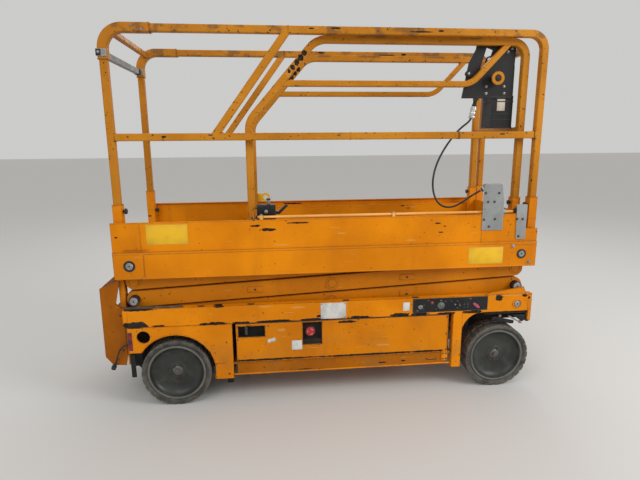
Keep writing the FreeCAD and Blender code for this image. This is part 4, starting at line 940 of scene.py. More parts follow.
@dataclass
class Studio:
    """Plain pale floor, soft even light and the photograph's camera."""

    camera_at: Triple = (-0.286, -2.912, 1.460)
    yaw: float = 5.87
    pitch: float = 11.95
    roll: float = -0.41
    focal_px: float = 475.9
    image_width: int = 640

    def make_camera(self) -> None:
        """Sets the scene's camera as the photograph's was."""
        data = bpy.data.cameras.new("camera")
        data.sensor_fit = "HORIZONTAL"
        data.sensor_width = 36.0
        data.lens = self.focal_px / self.image_width * data.sensor_width
        camera = bpy.data.objects.new("camera", data)
        bpy.context.scene.collection.objects.link(camera)
        yaw, pitch, roll = (math.radians(angle) for angle in (self.yaw, self.pitch, self.roll))
        ahead = Vector((math.sin(yaw) * math.cos(pitch), math.cos(yaw) * math.cos(pitch), -math.sin(pitch)))
        right = Vector((math.cos(yaw), -math.sin(yaw), 0.0))
        up = right.cross(ahead)
        level_right = right * math.cos(roll) + up * math.sin(roll)
        level_up = up * math.cos(roll) - right * math.sin(roll)
        matrix = Matrix((level_right, level_up, -ahead)).transposed().to_4x4()
        camera.matrix_world = Matrix.Translation(self.camera_at) @ matrix
        bpy.context.scene.camera = camera

    def make_floor(self) -> None:
        """A wide pale floor with no edge in view."""
        floor_mesh = bpy.data.meshes.new("floor")
        reach = 40.0
        floor_mesh.from_pydata([(-reach, -reach, 0), (reach, -reach, 0), (reach, reach, 0), (-reach, reach, 0)], [],
                               [(0, 1, 2, 3)])
        floor = bpy.data.objects.new("floor", floor_mesh)
        bpy.context.scene.collection.objects.link(floor)
        made = bpy.data.materials.new("floor")
        made.use_nodes = True
        shader = made.node_tree.nodes["Principled BSDF"]
        shader.inputs["Base Color"].default_value = (0.62, 0.615, 0.60, 1.0)
        shader.inputs["Roughness"].default_value = 0.75
        floor_mesh.materials.append(made)

    def make_light(self) -> None:
        """An even sky and two broad soft lamps."""
        world = bpy.data.worlds.new("studio")
        bpy.context.scene.world = world
        world.use_nodes = True
        world.node_tree.nodes.clear()
        tree = Tree(world.node_tree)
        seen = tree.add("ShaderNodeLightPath", {}, {}, "Is Camera Ray")
        lit = tree.add("ShaderNodeBackground", {}, {"Color": (1.0, 0.985, 0.96), "Strength": 0.66})
        backdrop = tree.add("ShaderNodeBackground", {}, {"Color": (0.60, 0.60, 0.595), "Strength": 1.0})
        both = tree.add("ShaderNodeMixShader", {}, {0: seen, 1: lit, 2: backdrop})
        tree.end_in(both, "ShaderNodeOutputWorld")
        lamps = (("key", (-2.6, -4.2, 4.6), 74.0, 3.2), ("side", (4.4, -3.2, 3.6), 142.0, 2.2),
                 ("back", (0.6, 4.4, 4.2), 75.0, 3.4))
        for name, place, power, size in lamps:
            data = bpy.data.lights.new(name, "AREA")
            data.energy = power
            data.size = size
            lamp = bpy.data.objects.new(name, data)
            lamp.location = place
            lamp.rotation_euler = (Vector((0.0, 0.0, 0.8)) - Vector(place)).to_track_quat("-Z", "Y").to_euler()
            bpy.context.scene.collection.objects.link(lamp)

    def make(self) -> None:
        """Makes all of it and sets how colours show."""
        self.make_camera()
        self.make_floor()
        self.make_light()
        bpy.context.scene.view_settings.view_transform = "Standard"


# Cords


@dataclass
class Cords:
    """The control cable on its loop and the charger lead at the rear."""

    cable_points: Sequence[Triple] = (
        (851, -262, 1602), (846, -262, 1572), (828, -261, 1547), (799, -260, 1526), (764, -259, 1494),
        (731, -259, 1452), (700, -260, 1407), (674, -261, 1360), (653, -261, 1310), (640, -262, 1258),
        (636, -262, 1204), (644, -263, 1150), (667, -265, 1099), (708, -274, 1071), (756, -293, 1075),
        (798, -318, 1106), (836, -344, 1145), (878, -368, 1176))
    cable_length: float = 850.9
    cable_thick: float = 11.0
    lead_points: Sequence[Triple] = ((-1080, -388, 371), (-1106, -390, 364), (-1128, -391, 345), (-1142, -391, 315),
                                     (-1151, -390, 285), (-1163, -389, 258))
    lead_length: float = 149.2
    lead_thick: float = 9.0

    @staticmethod
    def line(points: Sequence[Triple]) -> list[Vector]:
        """Points, in millimetres, along the smooth spline that has these control points."""
        curve = bpy.data.curves.new("line", "CURVE")
        curve.dimensions = "3D"
        spline = curve.splines.new("NURBS")
        spline.points.add(len(points) - 1)
        for point, place in zip(spline.points, points):
            point.co = (*place, 1.0)
        spline.order_u = 3
        spline.use_endpoint_u = True
        spline.resolution_u = 8
        holder = bpy.data.objects.new("line", curve)
        bpy.context.scene.collection.objects.link(holder)
        bpy.context.view_layer.update()
        mesh = bpy.data.meshes.new_from_object(holder.evaluated_get(bpy.context.evaluated_depsgraph_get()))
        places = [vert.co.copy() for vert in mesh.vertices]
        bpy.data.meshes.remove(mesh)
        bpy.data.objects.remove(holder)
        return places

    def make_cable(self) -> None:
        """The cable from the control station down to the large guide plate."""
        line = self.line(self.cable_points)
        shape = Shape("cable_loop", [SHEATH])
        shape.tube(line, self.cable_thick / 2, 16)
        piece = bpy.data.objects.new("cable_loop", shape.mesh_only())
        bpy.context.scene.collection.objects.link(piece)
        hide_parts("control_cable")
        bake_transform(piece)
        LOG.info("cable_loop: %d points", len(line))

    def make_lead(self) -> None:
        """The short charger lead with its plug."""
        line = self.line(self.lead_points)
        shape = Shape("lead", [SHEATH])
        shape.tube(line, self.lead_thick / 2, 16)
        end = Vector(self.lead_points[-1])
        way = (end - Vector(self.lead_points[-2])).normalized()
        plug = Shape("lead_plug", [BLACK_PANEL, STEEL])
        for near, far, wide, thin in ((-10.0, 3.0, 5.6, 7.0), (0.0, 12.0, 7.5, 12.6)):
            plug.rod(end + way * near, end + way * far, wide, 20, 0.8, tip=thin)
        plug.rod(end + way * 12.0, end + way * 31.0, 13.0, 24, 1.6)
        plug.rod(end + way * 18.0, end + way * 22.0, 13.6, 24, 0.6)
        plug_piece = plug.ride("chassis", "cable_black", ["charger_plug"])
        piece = shape.ride("chassis", "cable_black", ["charger_lead"])

    def make(self) -> None:
        """Both cords."""
        self.make_cable()
        self.make_lead()


# Wheels


@dataclass
class Wheel:
    """One solid tyre on its dished steel wheel.

    The tread is two staggered rows of blocks round a plain carcass.
    """

    end: str
    side: Side
    x: float
    radius: float = 190.5
    width: float = 127.0
    face: float = 405.0
    groove: float = 2.6
    blocks: int = 26
    bolts: int = 5
    bolt_circle: float = 33.0

    @property
    def body(self) -> str:
        """Name of the body that it turns with."""
        return f"wheel_{self.end}_{self.side.name.lower()}"

    @property
    def label(self) -> str:
        """Ending of its pieces' names."""
        return f"{self.end}_{self.side.name.lower()}"

    def inward(self, depth: float) -> float:
        """Y of a place some way in from the wheel's outer face."""
        return self.side.y(self.face - depth)

    def carcass(self) -> bpy.types.Mesh:
        """The tyre's section turned round the axle, from the outer bead round the tread to the inner one."""
        crown = self.radius - self.groove
        outer = [(160.6, 16.0), (162.0, 11.5), (164.6, 9.0), (167.0, 8.4), (168.6, 5.0), (171.0, 2.2), (175.5, 1.2),
                 (181.0, 1.4), (185.2, 3.0), (crown - 0.4, 8.0), (crown, 15.0)]
        inner = [(radius, self.width - depth) for radius, depth in reversed(outer)]
        shape = Shape("carcass_" + self.label, [TYRE])
        shape.lathe(outer + inner, (self.x, self.inward(0.0), self.radius), Axis.Y, -self.side.value, 96, closed=True)
        return shape.mesh_only(40.0)

    def block_unit(self) -> bpy.types.Object:
        """One curved tread block at the origin, its outer face up along +Z and its shoulder end at -Y."""
        half = math.pi * self.radius / self.blocks * 0.87
        outline = [(-half * 0.8, -31.0), (half, -31.0), (half, -10.0), (half * 0.62, 27.0), (-half * 0.8, 27.0),
                   (-half, -8.0)]
        lug = Shape("block_" + self.label, [TYRE])
        lug.plate(outline, (-8.0, self.groove), Axis.Z, 1.3)
        for cut in (-0.6, -0.2, 0.2, 0.6):
            whole = lug.mesh.verts[:] + lug.mesh.edges[:] + lug.mesh.faces[:]
            bmesh.ops.bisect_plane(lug.mesh, geom=whole, plane_co=(half * cut, 0, 0), plane_no=(1, 0, 0))
        for vert in lug.mesh.verts:
            vert.co.z += math.sqrt(self.radius ** 2 - vert.co.x ** 2) - self.radius
        return bpy.data.objects.new("block_" + self.label, lug.mesh_only())

    def make_tyre(self) -> None:
        """Carcass with two staggered rows of tread blocks, set by a node tree."""
        repeat = Repeat("tread_" + self.label)
        tree = repeat.tree
        unit = repeat.named("Block", "NodeSocketObject", self.block_unit())
        count = repeat.named("Blocks in a row", "NodeSocketInt", self.blocks)
        radius = repeat.named("Carcass radius", "NodeSocketFloat", (self.radius - self.groove) * MM)
        reach = repeat.named("Row distance", "NodeSocketFloat", (self.width / 2 - 33.0) * MM)
        x = repeat.named("Axle X", "NodeSocketFloat", self.x * MM)
        y = repeat.named("Middle Y", "NodeSocketFloat", self.inward(self.width / 2) * MM)
        z = repeat.named("Axle height", "NodeSocketFloat", self.radius * MM)
        points = tree.add("GeometryNodePoints", {}, {"Count": count * 2.0})
        index = tree.add("GeometryNodeInputIndex", {}, {})
        row = tree.add("ShaderNodeMath", {"operation": "MODULO"}, {0: index, 1: 2.0})
        turn = index * (math.pi / self.blocks)
        cosine = tree.add("ShaderNodeMath", {"operation": "COSINE"}, {0: turn})
        sine = tree.add("ShaderNodeMath", {"operation": "SINE"}, {0: turn})
        place = tree.add("ShaderNodeCombineXYZ", {}, {0: x + cosine * radius, 1: y + (row * 2.0 - 1.0) * reach,
                                                      2: z + sine * radius})
        placed = tree.add("GeometryNodeSetPosition", {}, {"Geometry": points, "Position": place})
        lean = tree.add("ShaderNodeCombineXYZ", {}, {1: math.pi / 2 - turn})
        about = tree.add("ShaderNodeCombineXYZ", {}, {2: row * math.pi})
        leaning = tree.add("FunctionNodeEulerToRotation", {}, {0: lean})
        facing = tree.add("FunctionNodeEulerToRotation", {}, {0: about})
        both = tree.add("FunctionNodeRotateRotation", {"rotation_space": "LOCAL"}, {0: leaning, 1: facing})
        item = tree.add("GeometryNodeObjectInfo", {}, {"Object": unit, "As Instance": True}, "Geometry")
        blocks = tree.add("GeometryNodeInstanceOnPoints", {}, {"Points": placed, "Instance": item,
                                                               "Rotation": both})
        whole = tree.add("GeometryNodeJoinGeometry", {}, {"Geometry": [repeat.given(), blocks]})
        tyre = repeat.finish(whole, "worn_tyre_" + self.label, self.carcass(), TYRE.material())
        settle(tyre, self.body, ["tyre_" + self.label])

    def make_wheel(self) -> None:
        """Dished disc with a rolled edge, hub flange, bolts and castle nut."""
        disc = Shape("dished_wheel_" + self.label, [WHEEL, HUB_STEEL, RIM_EDGE])
        centre = (self.x, self.inward(0.0), self.radius)
        way = -self.side.value
        dish = [(0.0, 37.0), (30.0, 37.0), (44.5, 37.2), (47.0, 39.5), (48.5, 45.5), (60.0, 46.2), (94.0, 46.0),
                (106.0, 44.6), (117.0, 41.6), (127.0, 36.6), (135.5, 29.4), (142.0, 20.4), (146.4, 11.0), (148.0, 7.6),
                (148.0, 60.0), (47.0, 60.0), (47.0, 114.0), (0.0, 114.0)]
        disc.lathe(dish, centre, Axis.Y, way, 96)
        band = [(147.6, 62.0), (147.6, 8.0), (149.4, 5.4), (152.6, 4.0), (156.6, 4.0), (159.6, 6.0), (160.4, 9.5),
                (160.4, 118.0), (156.0, 120.0), (152.0, 116.0)]
        disc.lathe(band, centre, Axis.Y, way, 96, 2, True)
        cap = [(0.0, 20.0), (6.0, 20.0), (7.5, 21.5), (7.5, 24.0), (13.5, 24.0), (14.5, 25.5), (14.5, 31.0),
               (24.0, 31.6), (26.5, 33.5), (27.0, 38.0), (0.0, 38.0)]
        disc.lathe(cap, centre, Axis.Y, way, 32, 1)
        low, high = sorted((self.inward(25.0), self.inward(20.5)))
        for step in range(6):
            turn = math.radians(60 * step + 12)
            across, up = self.x + math.cos(turn) * 11.0, self.radius + math.sin(turn) * 11.0
            disc.box((across - 3.2, across + 3.2), (low, high), (up - 3.2, up + 3.2), 0.7, 1)
        disc.ride(self.body, "rim_grey", ["rim_" + self.label])
        unit = Shape("wheel_bolt_" + self.label, [DARK_BOLT])
        unit.rod((0, 0, -2), (0, 0, 1.6), 7.4, 20, 0.4)
        unit.rod((0, 0, 1.0), (0, 0, 7.5), 5.8, 6, 0.7)
        studs = Studs("wheel_bolts_" + self.label, unit, DARK_BOLT)
        for step in range(self.bolts):
            turn = math.radians(360 / self.bolts * step + 54)
            studs.at((self.x + math.cos(turn) * self.bolt_circle, self.inward(37.0),
                      self.radius + math.sin(turn) * self.bolt_circle), (0, self.side.value, 0))
        studs.ride(self.body, "rim_grey")

    def make(self) -> None:
        """Tyre and wheel."""
        self.make_tyre()
        self.make_wheel()


# Small shared pieces


def hex_bolt(name: str, finish: Finish) -> Shape:
    """A six-sided bolt head on a round washer, standing on +Z."""
    unit = Shape(name, [finish])
    unit.rod((0, 0, -1.5), (0, 0, 1.6), 8.4, 20, 0.4)
    unit.rod((0, 0, 1.0), (0, 0, 6.2), 6.4, 6, 0.7)
    unit.rod((0, 0, 5.6), (0, 0, 7.4), 3.6, 12, 0.4)
    return unit


def dome_screw(name: str, finish: Finish) -> Shape:
    """A domed screw with a socket, standing on +Z."""
    unit = Shape(name, [finish])
    unit.lathe([(0.0, 0.9), (2.2, 0.9), (2.5, 3.4), (4.6, 2.9), (6.0, 1.3), (6.4, -1.0), (0.0, -1.0)], (0, 0, 0),
               Axis.Z, 1.0, 20)
    return unit


def star_knob(name: str, finish: Finish) -> Shape:
    """A locking knob with eight lobes on a short stem, standing on +Z."""
    unit = Shape(name, [finish])
    unit.rod((0, 0, -2), (0, 0, 9), 7.0, 20, 0.8)
    unit.rod((0, 0, 8), (0, 0, 22), 12.0, 20, 2.0)
    for step in range(8):
        turn = math.radians(45 * step)
        unit.rod((11 * math.cos(turn), 11 * math.sin(turn), 9), (11 * math.cos(turn), 11 * math.sin(turn), 20.5),
                 4.2, 12, 1.2)
    return unit


@dataclass
class Grid:
    """Small pieces in even rows on a level surface, set by a node tree."""

    name: str
    corner: Triple
    rows: int
    columns: int
    pitch: Pair

    def ride(self, unit: Shape, finish: Finish, body: str, slot: str) -> bpy.types.Object:
        """Sets the unit at every place.

        Args:
            unit: the small mesh at the origin.
            finish: its finish.
            body: the body that it rides on.
            slot: the record's material slot; not used.

        Returns:
            The finished piece.
        """
        small = bpy.data.objects.new(self.name + "_unit", unit.mesh_only())
        repeat = Repeat(self.name + "_tree")
        tree = repeat.tree
        item = repeat.named("Unit", "NodeSocketObject", small)
        rows = repeat.named("Rows", "NodeSocketInt", self.rows)
        columns = repeat.named("Columns", "NodeSocketInt", self.columns)
        along = repeat.named("Row pitch", "NodeSocketFloat", self.pitch[0] * MM)
        across = repeat.named("Column pitch", "NodeSocketFloat", self.pitch[1] * MM)
        index = tree.add("GeometryNodeInputIndex", {}, {})
        row = tree.add("ShaderNodeMath", {"operation": "FLOOR"}, {0: (index + 0.01) / columns})
        column = index - row * columns
        corner = [value * MM for value in self.corner]
        place = tree.add("ShaderNodeCombineXYZ", {}, {0: row * along + corner[0], 1: column * across + corner[1],
                                                      2: corner[2]})
        points = tree.add("GeometryNodePoints", {}, {"Count": rows * columns})
        placed = tree.add("GeometryNodeSetPosition", {}, {"Geometry": points, "Position": place})
        info = tree.add("GeometryNodeObjectInfo", {}, {"Object": item, "As Instance": True}, "Geometry")
        whole = tree.add("GeometryNodeInstanceOnPoints", {}, {"Points": placed, "Instance": info})
        empty = bpy.data.meshes.new(self.name + "_base")
        return settle(repeat.finish(whole, self.name, empty, finish.material()), body)


@dataclass
class PinHead:
    """End of a scissor pin on both sides: collar, dark groove, grey core and a centre mark."""

    name: str
    body: str
    x: float
    z: float
    face: float
    ring: float = 27.0
    core: float = 16.0
    proud: float = 4.4
    shank: float = 1.0
    collar: Finish = field(default_factory=lambda: BLACK_STEEL)

    def make(self) -> None:
        """Both ends of the pin."""
        shape = Shape("pin_heads_" + self.name, [self.collar, BLACK_STEEL, STEEL, DARK_INSIDE])
        top = self.proud
        ring = [(self.ring, -self.shank), (self.ring, top - 1.4), (self.ring - 1.6, top), (self.core + 5.0, top),
                (self.core + 3.8, top - 1.0), (self.core + 3.8, -self.shank)]
        groove = [(self.core + 4.2, -1.0), (self.core + 4.2, top - 1.2), (self.core + 0.6, top - 1.2),
                  (self.core + 0.6, -1.0)]
        core = [(0.0, -1.0), (self.core + 1.0, -1.0), (self.core + 1.0, top - 0.6), (self.core - 0.8, top + 0.8),
                (0.0, top + 0.8)]
        for side in Side:
            centre = (self.x, side.y(self.face), self.z)
            shape.lathe(ring, centre, Axis.Y, side.value, 40, 0, True)
            shape.lathe(groove, centre, Axis.Y, side.value, 40, 1, True)
            shape.lathe(core, centre, Axis.Y, side.value, 40, 2)
            shape.lathe([(0.0, 0.0), (4.2, 0.0), (4.2, top + 1.0), (3.2, top + 1.2), (0.0, top + 1.2)], centre, Axis.Y,
                        side.value, 16, 3)
        shape.ride(self.body, "black_steel")


# Chassis


@dataclass
class Chassis:
    """Welds, straps, lips, plates and bolts of the painted frame, above and between the wheels."""

    beam: float = 405.0
    skin: float = 401.0
    beam_low: float = 470.0
    beam_top: float = 573.0
    rear: float = -1097.0
    front: float = 1213.0
    arch_x: float = -835.0
    arch_z: float = 200.0
    arch_r: float = 215.0
    sill_x: Pair = (-526.0, 738.0)
    sill_low: float = 160.0
    bolts_x: Sequence[float] = (-1072.0, -560.0, -250.0, 470.0)

    def arch_lip(self, shape: Shape, side: Side) -> None:
        """Rolled lip round the rear wheel's arch, with short straight ends."""
        outline = []
        for radius, turns in ((self.arch_r, range(-14, 147, 5)), (self.arch_r + 7.0, range(146, -15, -5))):
            for turn in turns:
                angle = math.radians(turn)
                outline.append((self.arch_x + math.cos(angle) * radius, self.arch_z + math.sin(angle) * radius))
        shape.plate(outline, side.span(self.skin - 9.0, self.skin + 1.6), Axis.Y, 1.0)

    def make_welds(self) -> None:
        """Weld beads, arch lips and rolled sill edges in paint."""
        shape = Shape("frame_welds_and_lips", [PAINT_CHASSIS])
        for side in Side:
            self.arch_lip(shape, side)
            for x, length in ((-1078.0, 556.0), (746.0, 176.0)):
                shape.bead((x, side.y(self.skin + 1.0), self.beam_low - 1.0), Axis.X, length, 2.8)
            shape.bead((932.0, side.y(403.0), self.beam_top + 0.6), Axis.X, 240.0, 2.6)
            shape.bead((-616.0, side.y(self.skin), 237.0), Axis.X, 56.0, 2.2)
            for x in (744.0, 799.0):
                shape.bead((x, side.y(self.skin - 1.0), 322.0), Axis.Z, 146.0, 2.4)
            shape.rod((self.sill_x[0], side.y(396.0), self.sill_low + 2.5),
                      (self.sill_x[1], side.y(396.0), self.sill_low + 2.5), 4.6, 16, 0.8)
            shape.box(self.sill_x, side.span(397.0, 399.4), (232.0, 238.0), 0.8)
            shape.box((684, 720), side.span(397.0, 404.0), (179, 238), 1.6)
            shape.box((1189, 1213), side.span(398.0, 406.2), (474, 569), 1.4)
            shape.box((self.rear, -1071.0), side.span(399.0, 406.0), (476, 566), 1.2)
            shape.box((590, 656), side.span(397.0, 399.2), (181, 199), 1.2)
        shape.ride("chassis", "paint")
        # The rear posts take the arms' darker paint, whose tone is painted shade.
        posts = Shape("rear_upright_posts", [PAINT_ARMS_SHADED])
        for side in Side:
            posts.plate(((-1118, 560), (-1087, 560), (-1087, 712), (-1093, 734), (-1118, 734)), side.span(300, 350),
                        Axis.Y, 2.4)
            posts.box((-1119.5, -1085.5), side.span(297, 353), (572, 580), 1.2)
        posts.ride("chassis", "paint")

    def make_dark_parts(self) -> None:
        """Slots, rubbing strips and straps in black, and dark sheets that are painted shade in the wells and gaps."""
        shape = Shape("frame_dark_parts", [BLACK_STEEL, DARK_INSIDE, RUBBED_TOP])
        for side in Side:
            shape.box((596, 650), side.span(398.0, 399.6), (186, 194), 0.6, 1)
            shape.box((self.rear + 2, -779.0), side.span(382.0, 399.0), (self.beam_top - 1, 583.0), 1.6, 2)
            shape.box((-1083, -1058), side.span(372.0, 380.0), (168, 304), 1.6)
            # Dark sheet on the front wheel well's inner wall: painted shade.
            shape.box((935, 1195), side.span(298.0, 302.0), (387, 470), 1.0, 1)
            # Dark plate behind the rear wheel: painted shade behind the black plate.
            shape.box((-1083, -1034), side.span(330.0, 334.0), (214, 306), 1.0)
            shape.plate(((1114, 441), (1213, 441), (1213, 402), (1196, 397), (1186, 408), (1168, 398), (1150, 412)),
                        side.span(352.0, 396.0), Axis.Y, 1.4)
            shape.plate(((986, 428), (1010, 432), (1122, 404), (1120, 386), (1100, 386), (984, 414)),
                        side.span(383.0, 390.0), Axis.Y, 1.2)
            # Dark sheet under the top of the front wheel well: painted shade.
            shape.box((930, 1200), side.span(300.0, 398.0), (452, 468), 1.2, 1)
            # Dark box in the gap between the rear housing and the sill: painted shadow under the machine.
            shape.box((-562, -528), side.span(120.0, 369.0), (98, 238), 1.0, 1)
            for x in (-700.0, -430.0, 100.0, 500.0):
                shape.box((x, x + 36), side.span(386.0, 400.0), (self.beam_top - 1, 576.5), 1.0)
        shape.plate(((-1095, 471), (-960, 471), (-978, 492), (-994, 505), (-1010, 505), (-1024, 495), (-1044, 498),
                     (-1095, 499)), (-405.6, -404.0), Axis.Y, 0.4, 1)
        shape.ride("chassis", "black_steel")

    def make_steering_bars(self) -> None:
        """Silver strap and coppery bolt above each steered wheel."""
        shape = Shape("strap_over_wheel", [STEEL, COPPERY])
        for side in Side:
            shape.plate(((1086, 441), (1093, 436), (1171, 391), (1166, 385), (1084, 430)), side.span(391.0, 396.0),
                        Axis.Y, 0.8)
            for x, z, out in ((1034, 437, 397.0), (1158, 395, 400.0)):
                shape.rod((x, side.y(386.0), z), (x, side.y(out), z), 6.0, 6, 0.8, 1)
                shape.rod((x, side.y(386.0), z), (x, side.y(out - 5.0), z), 8.4, 18, 0.5)
        shape.ride("chassis", "grey_steel")

    def make_plates(self) -> None:
        """Blank data plates, labels and reflectors of both sides."""
        flat = self.beam
        white = Shape("frame_blank_plates", [WHITE_PLATE])
        for side in Side:
            for x, z, base in (((-27, 116), (474, 566), flat), ((444, 483), (500, 550), flat)):
                white.box(x, side.span(base - 0.4, base + 0.9), z, 0.3)
        white.ride("chassis", "grey_steel")
        lens = Shape("frame_reflectors", [REFLECTOR, BLACK_PANEL])
        for side in Side:
            lens.box((-1081, -1057), side.span(self.skin - 0.5, self.skin + 1.0), (336, 442), 0.5, 1)
            lens.box((-1077, -1059), side.span(self.skin, self.skin + 2.6), (340, 438), 1.2)
            lens.box((1212, 1215.4), side.span(330.0, 385.0), (515, 540), 1.2)
        lens.ride("chassis", "red_plastic")

    def make_bolts(self) -> None:
        """Bolt heads of the beams, hinge blocks and straps."""
        studs = Studs("frame_bolts", hex_bolt("frame_bolt", DARK_BOLT), DARK_BOLT)
        for side in Side:
            out = (0, side.value, 0)
            for z in (192, 226):
                studs.at((693, side.y(404.0), z), out, 0.62)
                studs.at((711, side.y(404.0), z), out, 0.62)
            for x, z in ((772, 170), (772, 300), (-545, 170)):
                studs.at((x, side.y(400.6), z), out, 0.7)
            for x in (-27.0, 116.0):
                studs.at((x + (6 if x < 0 else -6), side.y(self.beam + 0.8), 480), out, 0.34)
                studs.at((x + (6 if x < 0 else -6), side.y(self.beam + 0.8), 560), out, 0.34)
        studs.ride("chassis", "grey_steel")

    def make_ends(self) -> None:
        """Bolted covers, tow eyes and lamps at the front and rear ends."""
        shape = Shape("end_covers", [PAINT_CHASSIS, BLACK_PANEL, DARK_INSIDE])
        shape.box((self.front - 8, self.front + 1.4), (-300, 300), (482, 560), 1.6)
        shape.box((self.front - 4, self.front + 3.2), (-78, 78), (500, 545), 1.4, 1)
        for y in (-250.0, 250.0):
            shape.lathe([(13.0, -4.0), (13.0, 5.0), (14.5, 6.0), (24.0, 6.0), (25.5, 4.6), (25.5, -4.0)],
                        (self.front + 0.5, y, 500.0), Axis.X, 1.0, 32, 0, True)
            shape.rod((self.front + 0.4, y, 500.0), (self.front + 1.8, y, 500.0), 13.2, 24, 0.0, 2)
        shape.box((self.rear - 2.0, self.rear + 6), (-300, 300), (262, 452), 1.6)
        shape.box((self.rear - 8.0, self.rear), (-240, -96), (300, 410), 2.0, 1)
        shape.box((self.rear - 11.0, self.rear - 7), (-226, -110), (312, 398), 1.6, 1)
        shape.box((self.rear - 7.0, self.rear), (60, 214), (316, 400), 1.6, 1)
        shape.box((self.rear - 14.0, self.rear - 6), (-176, -160), (384, 404), 1.4, 1)
        shape.ride("chassis", "paint")
        studs = Studs("end_bolts", hex_bolt("end_bolt", STEEL), STEEL)
        for y in (-286.0, -145.0, 145.0, 286.0):
            for z in (492.0, 550.0):
                studs.at((self.front + 1.4, y, z), (1, 0, 0), 0.75)
            for z in (276.0, 438.0):
                studs.at((self.rear - 2.0, y, z), (-1, 0, 0), 0.75)
        studs.ride("chassis", "grey_steel")
        lamps = Shape("end_lamps", [LAMP_RED, STEEL])
        for y in (80.0, 194.0):
            lamps.lathe([(11.0, -2.0), (11.0, 3.0), (8.5, 5.6), (4.0, 6.8), (0.0, 7.0)], (self.rear - 7.0, y, 358.0),
                        Axis.X, -1.0, 28)
        lamps.lathe([(14.0, -2.0), (14.0, 2.4), (12.4, 3.4), (9.0, 3.4), (9.0, 1.0), (0.0, 1.0)],
                    (self.rear - 7.0, 137.0, 358.0), Axis.X, -1.0, 28, 1)
        lamps.ride("chassis", "red_plastic")

    def make_ladder(self) -> None:
        """Grip rings on the treads, folded edges and bolts of the rear ladder."""
        ring = Shape("grip_ring", [PAINT_LADDER_SHADED])
        ring.lathe([(3.6, -0.5), (3.6, 1.6), (4.6, 2.4), (6.2, 2.4), (8.4, 0.2), (8.4, -0.5)], (0, 0, 0), Axis.Z, 1.0,
                   14, 0, True)
        for label, top in (("low", 312.0), ("middle", 502.0)):
            fresh = Shape("grip_ring_" + label, [PAINT_LADDER_SHADED])
            fresh.mesh = ring.mesh.copy()
            Grid("ladder_grip_" + label, (-1195.0, -340.0, top), 3, 17, (30.0, 42.5)).ride(
                fresh, PAINT_LADDER_SHADED, "chassis", "paint")
        ring.mesh.free()
        shape = Shape("ladder_edges", [PAINT_LADDER_SHADED, DARK_INSIDE])
        for top in (312.0, 502.0):
            shape.box((-1212.0, -1207.0), (-361, 361), (top - 24, top + 1.5), 1.2)
            shape.box((-1124.0, -1119.0), (-361, 361), (top - 24, top + 1.5), 1.2)
            shape.box((-1206.0, -1125.0), (-358, 358), (top - 23.5, top - 22.0), 0.3, 1)
        for step in range(9):
            share = (step + 0.5) / 9
            x = -1209 + 96 * share
            z = 684 + 38 * share
            shape.box((x - 2.4, x + 2.4), (-352, 352), (z - 1.5, z + 3.0), 1.0)
        for side in Side:
            shape.bead((-1112.0, side.y(366.0), 300.0), Axis.Z, 250.0, 2.6)
            for top in (290.0, 480.0):
                shape.bead((-1207.0, side.y(361.5), top), Axis.X, 84.0, 2.4)
        shape.ride("chassis", "paint")
        studs = Studs("ladder_bolts", hex_bolt("ladder_bolt", DARK_BOLT), DARK_BOLT)
        for side in Side:
            for x, z in ((-1118, 330), (-1118, 530)):
                studs.at((x, side.y(370.0), z), (0, side.value, 0), 0.7)
        studs.ride("chassis", "grey_steel")

    def make(self) -> None:
        """All of the chassis's added pieces."""
        self.make_welds()
        self.make_dark_parts()
        self.make_steering_bars()
        self.make_plates()
        self.make_bolts()
        self.make_ends()
        self.make_ladder()


